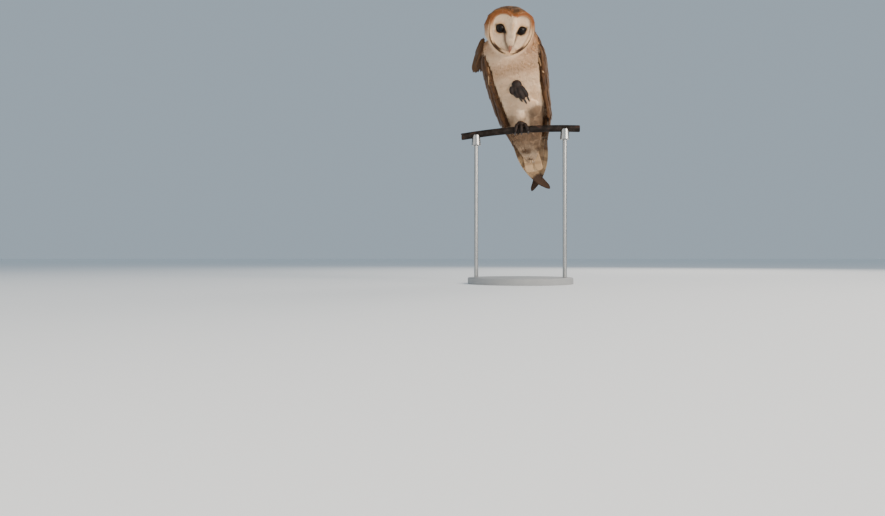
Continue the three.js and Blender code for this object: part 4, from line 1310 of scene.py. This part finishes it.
def wingFeather(side, root, tip, width, lift=(0.4, 2.0), bow=0.0, steps=16, **numbers):
    # a feather laid on the wing from one place to another, each a height and a share from its front edge
    s = np.linspace(0, 1, steps)
    at = root[0] + (tip[0] - root[0]) * s
    k = root[1] + (tip[1] - root[1]) * s + bow * 4 * s * (1 - s)
    here = wingPoint(side, at, k)
    ahead = wingPoint(side, at, k + 0.03) - wingPoint(side, at, k - 0.03)
    along = unit(np.gradient(here, axis=0))
    ahead = unit(ahead - along * np.sum(ahead * along, axis=1, keepdims=True))
    out = unit(np.cross(ahead, along)) * (1 if side < 0 else -1)
    free = ease(-2, -14, at)[:, None]  # below the skin of the wing only the quills are left
    inset = 3.0 + (0.7 - 3.0) * ease(-10, -60, at)[:, None]
    base = here - out * (under(here, out, 3.5) * (1 - free) + inset * free)
    return laidFeather(base, out, ahead, width, lift, lean=-0.3 * side * (1 if numbers.get("kind", 1) < 0.4 else 0),
                       height=at, **numbers)


quills = dict(
    primaries=((-117, 0.26), (-121, 0.40), (-119, 0.53), (-112, 0.64), (-101, 0.72), (-88, 0.79), (-74, 0.84),
               (-60, 0.88), (-47, 0.91), (-36, 0.94)),
    primaryWidth=13, secondaries=12, secondaryWidth=16,
    coverts=(  # height, length, count, width, first and last share, how grey: from the lowest row up
        (62, 44, 5, 11, 0.04, 0.36, 0.35), (94, 50, 11, 13.5, 0.10, 0.95, 0.55), (113, 36, 12, 12, 0.08, 0.95, 0.6),
        (129, 31, 13, 11, 0.07, 0.95, 0.65), (144, 28, 13, 10.5, 0.08, 0.95, 0.7), (157, 26, 12, 10, 0.1, 0.95, 0.75),
        (169, 24, 9, 9.5, 0.12, 0.95, 0.75),
    ),
)


def wingSheets(side):
    chance = np.random.default_rng(21 if side < 0 else 22)
    primaries, rest = [], []
    for i, tip in enumerate(quills["primaries"]):
        # outermost first: it lies lowest and nearest the front edge; its low tone darkens it, partly painted shade
        share = i / 9
        primaries.append(wingFeather(
            side, (52 - 8 * share, 0.08 + 0.5 * share), tip, quills["primaryWidth"], (0.1 + 0.06 * i, 0.05 + 0.16 * i),
            steps=30, roll=3, thick=0.4, camber=0.1, tipLength=1.7, rows=20, columns=7,
            kind=0.0, pick=chance.uniform(), tone=0.35 * min(1, i) + 0.3 * share, pale=0.0, grey=0.15))
    count = quills["secondaries"]
    for i in range(count):
        share = i / (count - 1)
        tip = -20 + 34 * share ** 1.4
        rest.append(wingFeather(
            side, (86 + 12 * share, 0.22 + 0.70 * share), (tip, 0.28 + 0.68 * share), quills["secondaryWidth"],
            (0.4, 1.2 + 0.05 * i), steps=26, thick=0.4, camber=0.16, tipLength=0.9, rows=14, columns=7,
            kind=0.25, pick=chance.uniform(), tone=0.45 + 0.25 * share, pale=0.0, grey=0.3))
    for height, length, number, width, first, last, grey in quills["coverts"]:
        puff = 2.3 + 1.7 * float(bump(height, 90, 60))
        for i in range(number):
            share = i / (number - 1)
            k = first + (last - first) * share
            drop = chance.uniform(-2, 2) + 6 * share
            # coverts nearer the front edge get a lower tone, darker: partly painted shade
            rest.append(wingFeather(
                side, (height + drop, k), (height + drop - length * chance.uniform(0.92, 1.06), k + 0.04), width,
                (0.45 * puff, puff), roll=6, thick=0.4, camber=0.2, rows=6, columns=5, kind=0.6, pick=chance.uniform(),
                tone=0.1 + 0.6 * float(ease(0.06, 0.5, k)), pale=0.0,
                grey=grey * chance.uniform(0.7, 1.2) * (0.3 + 0.7 * float(ease(0.08, 0.45, k)))))
    return primaries, rest


edging = dict(
    shares=(0.02, 0.07, 0.13, 0.2), top=164, low=-30, length=42, step=17, width=8,
    columns=5, columnStep=15, columnLength=38, columnWidth=7,
    pale=(("right", (-60, 414), (-57, 372)), ("left", (34, 430), (42.5, 400)), ("left", (51.5, 397), (55.5, 364))),
    paleWidth=3.4,
    lining=dict(x=(42.5, 46, 49.5), tops=(330, 317, 304), length=25, width=6),  # under the left wing, by the thigh
)


def seenFeather(start, end, way, width, lift, most=12, **numbers):
    # a feather laid on the skin between two places (x, height) as they show from ahead
    s = np.linspace(0, 1, 14)[:, None]
    flat = np.array(start) + (np.array(end) - np.array(start)) * s
    target = np.stack([flat[:, 0], 0 * flat[:, 0], flat[:, 1]], 1)
    eyeAt = np.array(viewFrom, float)
    hits = [skinTree.ray_cast(Vector(eyeAt * mm), Vector(unit(t - eyeAt)), 2.0)[0] for t in target]
    if any(hit is None for hit in hits):
        return None
    base = into(bodyFrame, [tuple(hit) for hit in hits])
    if np.max(np.linalg.norm(np.diff(base, axis=0), axis=1)) > most:
        return None
    out = np.repeat(unit(np.array([way]) @ np.array(bodyFrame)[:3, :3]), 14, axis=0)
    ahead = np.repeat(np.array([[1.0, 0, 0]]) @ np.array(bodyFrame)[:3, :3], 14, axis=0)
    return laidFeather(evened(base, 8), out, ahead, width, lift, roll=0, thick=0.35, camber=0.25, rows=7, columns=5,
                       kind=0.45, height=0 * s[:, 0], **numbers)


def edgeSheets(side, word):
    # narrow feathers laid lengthwise round the front edge, with a pale one down the middle; their low tone darkens
    # them, partly painted shade
    chance = np.random.default_rng(61 if side < 0 else 62)
    sheets = []
    for row, k in enumerate(edging["shares"]):
        start = edging["top"] - 9 * (row % 2)
        while start - edging["length"] > edging["low"]:
            top = start + chance.uniform(-2, 2)
            sheets.append(wingFeather(
                side, (top, k), (top - edging["length"], k + 0.01), edging["width"], (0.3, 1.7), roll=4, thick=0.35,
                camber=0.3, rows=7, columns=5, kind=0.45, pick=chance.uniform(), pale=0.0,
                tone=0.02 + 0.12 * chance.uniform() + 0.06 * row / 4, grey=0.12))
            start -= edging["step"]
    count = edging["columns"]
    bottom = 303
    for column in range(count):
        share = 0.08 + 0.62 * column / (count - 1)
        height = strips[word]["inner"][0][1] + 6 * share - 7 * (column % 2)

        def spot(z):
            return (stripEdge(word, "inner", z) * (1 - share) + stripEdge(word, "outer", z) * share, z)

        while height - edging["columnLength"] > bottom - 12:
            low = max(height - edging["columnLength"], bottom - 6)
            numbers = dict(pick=chance.uniform(), tone=0.1 * chance.uniform(), pale=0.0, grey=0.04 * share)
            sheet = seenFeather(spot(height), spot(low), (side * share * 1.3, -1, 0.1), edging["columnWidth"], (0.6, 2.0),
                                **numbers)
            if sheet:
                sheets.append(sheet)
            height -= edging["columnStep"]
    for which, start, end in edging["pale"]:
        sheet = which == word and seenFeather(start, end, (side * 0.4, -1, 0.1), edging["paleWidth"], (3.2, 4.0), 30, pick=0.5,
                                              tone=0.3, pale=0.95, grey=0.0)
        if sheet:
            sheets.append(sheet)
    lining = edging["lining"]
    for top in lining["tops"][::-1] if side > 0 else ():
        for x in lining["x"]:
            start, end = (x, top + chance.uniform(-2, 2)), (x + 0.5, top - lining["length"])
            sheet = seenFeather(start, end, (-0.2, -1, 0.1), lining["width"], (0.4, 1.4), pick=chance.uniform(),
                                tone=0.3 + 0.15 * chance.uniform(), pale=0.0, grey=0.3)
            if sheet:
                sheets.append(sheet)
    return sheets


mantle = dict(
    rows=((172, 24, 9, 10), (158, 27, 9, 11), (144, 30, 9, 12), (128, 34, 9, 13), (110, 38, 7, 13), (92, 42, 7, 13),
          (72, 44, 5, 13), (52, 44, 5, 13), (32, 42, 4, 13), (16, 36, 3, 12)),  # height, length, count, width
    spread=7.2, middle=1.0,
)


def mantleSheets():
    # rounded feathers over the back, and the long ones that close over the gap between the wings
    chance = np.random.default_rng(31)
    sheets = []
    for height, length, count, width in mantle["rows"][::-1]:
        for i in range(count):
            x = mantle["middle"] + mantle["spread"] * (i - (count - 1) / 2)
            start = height + chance.uniform(-2, 2) - 0.25 * abs(x)
            at = np.linspace(start, start - length * chance.uniform(0.95, 1.05), 14)
            drift = np.interp(at, (-10, 60), (3, 0))
            spots = np.stack([x + drift + 0.04 * x * (start - at) / length, 75 + 0 * at, at], 1)
            back = np.array([[0, 1.0, 0]] * 14)
            base = struck(skinTree, spots, -back)
            pick, grey = chance.uniform(), 0.75 * chance.uniform(0.8, 1.2)
            if base is None:
                continue
            out = unit(np.stack([0.018 * spots[:, 0], 1 + 0 * at, 0.1 + 0 * at], 1))
            sheets.append(laidFeather(evened(base, 12), out, np.array([[1.0, 0, 0]] * 14), width, (0.6, 2.6),
                                      roll=4 * np.sign(x), thick=0.4, camber=0.15, rows=6, columns=5, kind=0.75,
                                      pick=pick, tone=0.6, pale=0.0, grey=grey, height=at))
    return sheets


def wingPaint():
    # golden brown quills with dark bars, grey frosting and small pale and dark drops at the tips
    paint = Paint("wingPlumage", Specular_IOR_Level=0.2, Sheen_Weight=0.15)
    along, across, height = paint.value("along"), paint.value("across"), paint.value("height")
    kind, pick, tone, pale = (paint.value(n) for n in ("kind", "pick", "tone", "pale"))
    fine, broad, cloud = paint.speckle(1500, 2), paint.speckle(80, 2), paint.speckle(240, 3)
    quill = kind < 0.4
    # low tone, given along the wings' front edges and to the outermost quill, darkens to near-black brown: partly
    # painted shade
    warm = paint.mix((tone * 0.9 + (broad - 0.35) * 0.35 + pick * 0.12).held(), tint(48, 26, 10), tint(156, 108, 62))
    feed = {0: height * 0.9 + (across - 0.5).size() * 11, 1: pick * 40, 2: across * 1.5}
    web = paint.speckle(1.6, 2, vector=paint.add("ShaderNodeCombineXYZ", {}, feed))
    colour = paint.mix(web.step(0.35, 0.65) * 0.25, warm, tint(92, 60, 32))
    edge = (across - 0.5).size().step(0.32, 0.5)
    colour = paint.mix((edge * 0.35 * tone).held(), colour, tint(180, 134, 86))
    bars = (height * 0.29 + pick * 1.2).maths("SINE").step(0.2, 0.75) * quill
    colour = paint.mix((bars * 0.7).held(), colour, tint(64, 40, 24))
    frost = paint.value("grey") * (fine.step(0.35, 0.65) * 0.35 + cloud.step(0.3, 0.6) * 0.55 + 0.25) * along.step(0.1, 0.6)
    colour = paint.mix(frost.held(), colour, tint(94, 80, 68))
    spotted = (kind > 0.55) * (pick > 0.3)
    wide, far, tip = (across - 0.5) * 10, (along - 0.8) * 26, (along - 0.9) * 26
    halo = (wide * wide * 0.7 + far * far * 0.12).step(1.6, 0.5) * spotted
    drop = (wide * wide + tip * tip * 0.25).step(0.5, 0.15) * spotted
    colour = paint.mix((halo * 0.55).held(), colour, tint(62, 44, 32))
    colour = paint.mix((drop * 0.8).held(), colour, tint(214, 194, 168))
    shaft = (across - 0.5).size().step(0.03, 0.012)
    colour = paint.mix((shaft * 0.4).held(), colour, tint(78, 52, 34))
    colour = paint.mix((pale * 0.85).held(), colour, tint(200, 160, 118))
    # the quills' undersides pale buff, browned at the outermost quill and towards the tips as painted shade
    under = (1 - paint.value("upper")) * quill
    light = paint.mix((bars * 0.5).held(), tint(204, 170, 130), tint(126, 94, 66))
    light = paint.mix(tone.step(0.2, 0.02) * height.step(-52, -38) * 0.6, light, tint(84, 54, 30))
    light = paint.mix(height.step(-82, -94), light, tint(54, 35, 21))
    colour = paint.mix(under, colour, light)
    colour = paint.mix((height.step(-88, -104) * quill * 0.8).held(), colour, tint(62, 42, 28))
    paint.set("Base Color", colour)
    paint.set("Roughness", 0.6 + 0.2 * fine)
    barbs = (along * 240 + (across - 0.5).size() * 120).maths("SINE")
    paint.dent(barbs * 0.4 + shaft * 1.5 + fine + web * 1.5, 0.00008, 0.5)
    return paint.material


wingPlumage = wingPaint()
scatter("wing_coverts", wingPlumage, "wing_feathers", "vane", "coverWing", 2.6, 8, 5.0, 5, 7, 0.6, 12)
for side, word in ((-1, "right"), (1, "left")):
    primaries, rest = wingSheets(side)
    blades(f"wing_{word}_quills", wingPlumage, primaries, [f"wing_{word}_primaries"])
    blades(f"wing_{word}_feathers", wingPlumage, rest)
    blades(f"wing_{word}_edging", wingPlumage, edgeSheets(side, word))
blades("mantle_feathers", wingPlumage, mantleSheets())

# ---- tail

print("tail")
tail = dict(count=12, root=14, tip=-79, x=(1.5, 5.2), width=15, spread=11.5, y=(4.5, 6.5))


def tailSheets():
    # the middle pair lies on top, each outer pair under it
    chance = np.random.default_rng(41)
    sheets = []
    half = tail["count"] // 2
    for side in (-1, 1):
        for i in range(half):
            share = (i + 0.5) / half
            s = np.linspace(0, 1, 20)[:, None]
            tipX = tail["x"][1] + side * tail["spread"] * share
            rootX = tail["x"][0] + side * 5 * share
            x = rootX + (tipX - rootX) * s
            y = tail["y"][0] + (tail["y"][1] - tail["y"][0]) * s + 1.4 - 2.9 * share - 1.2 * share * s
            z = tail["root"] + (tail["tip"] + 1.5 * share - tail["root"]) * s + 0 * s
            spine = np.concatenate([x, y, z], 1)
            across = np.repeat(unit(np.array([[1, 0.12 * -side * share, 0.0]])), 20, axis=0)
            out = unit(np.cross(np.gradient(spine, axis=0), across)) * -1
            sheets.append(blade(outOf(bodyFrame, spine), aimed(bodyFrame, across), aimed(bodyFrame, out),
                                tail["width"], 0.45, 0.06, 0.5, 16, 7, pick=chance.uniform(), outer=share,
                                height=z[:, 0]))
    return sheets


def tailPaint():
    paint = Paint("tailPlumage", Specular_IOR_Level=0.2, Sheen_Weight=0.15)
    across, outer, pick, height = (paint.value(n) for n in ("across", "outer", "pick", "height"))
    along, upper = paint.value("along"), paint.value("upper")
    fine = paint.speckle(1300, 2)
    warm = paint.mix((outer * 0.5 + fine * 0.3).held(), tint(150, 98, 50), tint(188, 142, 94))
    cream = paint.mix((fine * 0.2 + 0.2 * pick + outer * 0.5).held(), tint(232, 200, 158), tint(176, 138, 100))
    colour = paint.mix(upper, cream, warm)
    bars = (height * 0.33 + 0.5 * pick + 2.6).maths("SINE").step(0.4, 0.85) * height.step(-76, -70)
    dark = paint.mix(upper, tint(126, 94, 66), tint(70, 46, 28))
    colour = paint.mix((bars * (0.4 + 0.3 * upper)).held(), colour, dark)
    shaft = (across - 0.5).size().step(0.03, 0.012)
    colour = paint.mix((shaft * 0.4).held(), colour, tint(176, 140, 106))
    paint.set("Base Color", colour)
    paint.set("Roughness", 0.6 + 0.2 * fine)
    barbs = (along * 240 + (across - 0.5).size() * 120).maths("SINE")
    paint.dent(barbs * 0.4 + shaft * 1.5 + fine, 0.00008, 0.5)
    return paint.material


tailPlumage = tailPaint()
blades("tail_feathers", tailPlumage, tailSheets(), ["tail"])

# ---- the tuft of shoulder feathers that stands away from the right wing

print("ruffle")
ruffle = dict(
    root=(-48, 30, 184), rootSpread=(3, 4, 9), count=70,
    tipHigh=(-66, 31, 163), tipLow=(-79, 32, 137), tipInner=(-62, 31, 135), tipSpread=(3, 3.5, 4.5), width=4.6,
)


def ruffleSheets():
    # loose, narrow feathers whose ends make a square, ragged edge
    chance = np.random.default_rng(51)
    sheets = []
    high, low, inner = (np.array(ruffle[k], float) for k in ("tipHigh", "tipLow", "tipInner"))
    for i in range(ruffle["count"]):
        share = i / (ruffle["count"] - 1)
        root = np.array(ruffle["root"], float) + chance.uniform(-1, 1, 3) * ruffle["rootSpread"]
        edge = high + (low - high) * share * 2 if share < 0.5 else low + (inner - low) * (share - 0.5) * 2
        tip = edge + chance.uniform(-1, 1, 3) * ruffle["tipSpread"]
        middle = root * 0.5 + tip * 0.5 + np.array([-3, chance.uniform(-3, 3), 3])
        s = np.linspace(0, 1, 12)[:, None]
        spine = root * (1 - s) ** 2 + 2 * middle * s * (1 - s) + tip * s ** 2
        along = unit(np.gradient(spine, axis=0))
        twist = np.array([chance.uniform(-0.4, 0.4), -1, chance.uniform(-0.4, 0.4)])
        across = unit(np.cross(along, twist))
        out = unit(np.cross(across, along))
        sheets.append(blade(outOf(bodyFrame, spine), aimed(bodyFrame, across), aimed(bodyFrame, out),
                            ruffle["width"] * chance.uniform(0.6, 1.15), 0.35, 0.2, 1.4, 7, 5, kind=0.5,
                            pick=chance.uniform(), tone=0.05 + 0.3 * chance.uniform(), pale=0.0,
                            grey=0.35 + 0.9 * (1 - share) * chance.uniform(), height=0.0))
    return sheets


blades("wing_right_tuft", wingPlumage, ruffleSheets(), ["wing_right_ruffle"])

# ---- perch and stand

print("perch and stand")
stand = dict(
    radius=100, height=12, chamfer=2, rodRadius=4, rodX=84,
    collarRadius=9, collarHeight=10, collarTaper=1.5, collarTop=1,
)


def ironPaint():
    paint = Paint("perchIron", Specular_IOR_Level=0.4)
    rust, fine, scratches = paint.speckle(90, 4, 0.6), paint.speckle(1100, 3), paint.speckle(60, 2, stretch=(0.15, 6, 6))
    colour = paint.mix(fine, tint(24, 18, 15), tint(42, 33, 26))
    colour = paint.mix((rust.step(0.52, 0.72) * 0.8).held(), colour, tint(72, 42, 27))
    colour = paint.mix((scratches.step(0.68, 0.76) * 0.35).held(), colour, tint(112, 96, 84))
    paint.set("Base Color", colour)
    paint.set("Metallic", 0.25 + 0.4 * rust.step(0.6, 0.4))
    paint.set("Roughness", 0.5 + 0.35 * rust)
    paint.dent(rust + fine * 0.5, 0.0004, 0.5)
    return paint.material


def standPaints():
    coat = Paint("standPaint", Specular_IOR_Level=0.4)
    peel, wear = coat.speckle(700, 2), coat.speckle(35, 3)
    coat.set("Base Color", coat.mix(wear, tint(148, 149, 150), tint(168, 169, 169)))
    coat.set("Roughness", 0.5 + 0.12 * wear + 0.08 * peel)
    coat.dent(peel, 0.0001, 0.35)
    steel = Paint("standSteel", Metallic=1.0)
    grain = steel.speckle(500, 3, stretch=(1, 1, 0.05))
    steel.set("Base Color", steel.mix(grain, tint(150, 150, 150), tint(196, 196, 194)))
    steel.set("Roughness", 0.26 + 0.2 * grain)
    steel.dent(grain, 0.00004, 0.4)
    return coat.material, steel.material


def collar(x):
    # a tapered sleeve round the post's top, with a saddle for the perch
    top = rodAxisHeight(x) - stand["collarTop"]
    low, wide = top - 2 * stand["collarHeight"], stand["collarRadius"]
    narrow, bore, edge = wide - stand["collarTaper"], stand["rodRadius"] + place["gap"], 0.5
    loop = ((wide - edge, low), (wide, low + edge), (narrow, top - edge), (narrow - edge, top), (bore, top), (bore, low))
    a = np.linspace(0, 2 * math.pi, 65)[:-1]
    grid = np.array([[(r * math.cos(t) + x, r * math.sin(t), z) for t in a] for r, z in loop])
    ids = np.arange(len(loop) * 64).reshape(len(loop), 64)
    after, around = np.roll(ids, -1, axis=0), np.roll(ids, -1, axis=1)
    quads = np.stack([ids, around, np.roll(after, -1, axis=1), after], -1).reshape(-1, 4)
    sleeve = newPiece("sleeve", grid.reshape(-1, 3) * mm, quads.tolist())
    path = [(at, 0, rodAxisHeight(at)) for at in (x - 20, x - 7, x + 7, x + 20)]
    points, faces = tube(path, [place["perchRadius"] + place["gap"]] * 4, 64, 12, side=(0, 1, 0), blunt=60)
    cutter = newPiece("cutter", points * mm, faces)
    for piece in (sleeve, cutter):
        fixed = bmesh.new()
        fixed.from_mesh(piece.data)
        bmesh.ops.recalc_face_normals(fixed, faces=fixed.faces)
        fixed.to_mesh(piece.data)
        fixed.free()
    saddle = sleeve.modifiers.new("Saddle", "BOOLEAN")
    saddle.operation, saddle.object, saddle.solver = "DIFFERENCE", cutter, "EXACT"
    applied(sleeve)
    found = [tuple(v.co) for v in sleeve.data.vertices], [tuple(p.vertices) for p in sleeve.data.polygons]
    for piece in (sleeve, cutter):
        bpy.data.objects.remove(piece)
    return found


def standParts():
    standCoat, standSteel = standPaints()
    steps = 73
    xs = np.linspace(-place["perchHalf"], place["perchHalf"], steps)
    line = np.stack([xs, 0 * xs, [rodAxisHeight(x) for x in xs]], 1)
    radius = np.full(steps, float(place["perchRadius"]))
    lathePath = np.concatenate([line[:1], line, line[-1:]])
    sizes = np.concatenate([[place["perchRadius"] - 0.8], radius, [place["perchRadius"] - 0.8]])
    lathePath[1:3, 0] = lathePath[1, 0] + np.array([0.8, 1.2])
    lathePath[-3:-1, 0] = lathePath[-2, 0] - np.array([1.2, 0.8])
    along = unit(np.gradient(lathePath, axis=0))
    out = np.array([0, 1.0, 0])
    up = np.cross(along, out)
    a = np.linspace(0, 2 * math.pi, 41)[:-1]
    grid = lathePath[:, None] + (out * np.cos(a)[:, None])[None] * sizes[:, None, None] + up[:, None] * (
        np.sin(a)[None, :] * sizes[:, None])[..., None]
    ids = np.arange(len(grid) * 40).reshape(-1, 40)
    around = np.roll(ids, -1, axis=1)
    faces = np.stack([ids[:-1], around[:-1], around[1:], ids[1:]], -1).reshape(-1, 4).tolist()
    faces += [ids[0][::-1].tolist(), ids[-1].tolist()]
    solidPiece("perch_iron", [(grid.reshape(-1, 3) * mm, faces)], ironPaint(), ["perch"], 40)
    radius, height, chamfer = stand["radius"], stand["height"], stand["chamfer"]
    profile = [(1, 0), (radius - 0.6, 0), (radius, 0.6), (radius, height - chamfer)]
    profile += [(radius - chamfer + chamfer * math.cos(t), height - chamfer + chamfer * math.sin(t))
                for t in np.linspace(0.2, math.pi / 2, 6)] + [(1, height)]
    points, faces = lathe(profile, 128)
    solidPiece("stand_disc", [(points * mm, faces)], standCoat, ["stand_base"], 40)
    for side, word in ((1, "left"), (-1, "right")):
        x = side * stand["rodX"]
        top = rodAxisHeight(x) - place["perchRadius"] - 0.3
        foot = stand["height"] + 0.3
        points, faces = lathe([(3.6, foot), (4, foot + 0.4), (4, top - 0.4), (3.6, top)], 32)
        solidPiece(f"stand_{word}_post", [((points + [x, 0, 0]) * mm, faces)], standSteel,
                   [f"stand_rod_{word}"], 40)
        solidPiece(f"stand_{word}_socket", [collar(x)], standSteel, [f"stand_collar_{word}"], 30)


standParts()


# ---- floor, lights and camera

print("studio")


def studio():
    floor = newPiece("floor", [(40 * math.cos(a), 40 * math.sin(a), 0) for a in np.linspace(0, 2 * math.pi, 97)[:-1]],
                     [range(96)], smooth=False)
    paint = Paint("floorPaint", Roughness=0.85, Specular_IOR_Level=0.2)
    paint.set("Base Color", tint(244, 245, 246))
    floor.data.materials.append(paint.material)
    world = bpy.data.worlds.new("studio")
    world.use_nodes = True
    world.node_tree.nodes["Background"].inputs[0].default_value = tint(188, 206, 220)
    world.node_tree.nodes["Background"].inputs[1].default_value = 0.7
    bpy.context.scene.world = world
    lights = (
        # name, place, aim, size, power
        ("keyLight", (1.66, -1.34, 1.1), (0, 0, 0.38), 1.2, 55),
        ("fillLight", (-1.6, -1.2, 0.9), (0, 0, 0.36), 1.6, 8),
        ("rimLight", (0.8, 1.7, 1.4), (0, 0, 0.4), 1.2, 24),
        ("lowLight", (0, -1.5, 0.25), (0, 0, 0.3), 1.0, 4),
    )
    for name, at, aim, size, power in lights:
        data = bpy.data.lights.new(name, "AREA")
        data.shape, data.size, data.energy = "DISK", size, power
        data.color = (1.0, 0.9, 0.78)
        lamp = bpy.data.objects.new(name, data)
        lamp.location = at
        lamp.rotation_euler = (Vector(aim) - Vector(at)).to_track_quat("-Z", "Y").to_euler()
        bpy.context.scene.collection.objects.link(lamp)
    camera = bpy.data.objects.new("camera", bpy.data.cameras.new("camera"))
    camera.location = (0, -1.344, 0.049)
    camera.rotation_euler = (math.radians(90), 0, math.radians(6.33))
    camera.data.lens = 28.48
    camera.data.clip_start = 0.01
    bpy.context.scene.collection.objects.link(camera)
    bpy.context.scene.camera = camera


studio()
for shape in shapes.values():
    bpy.data.objects.remove(shape)
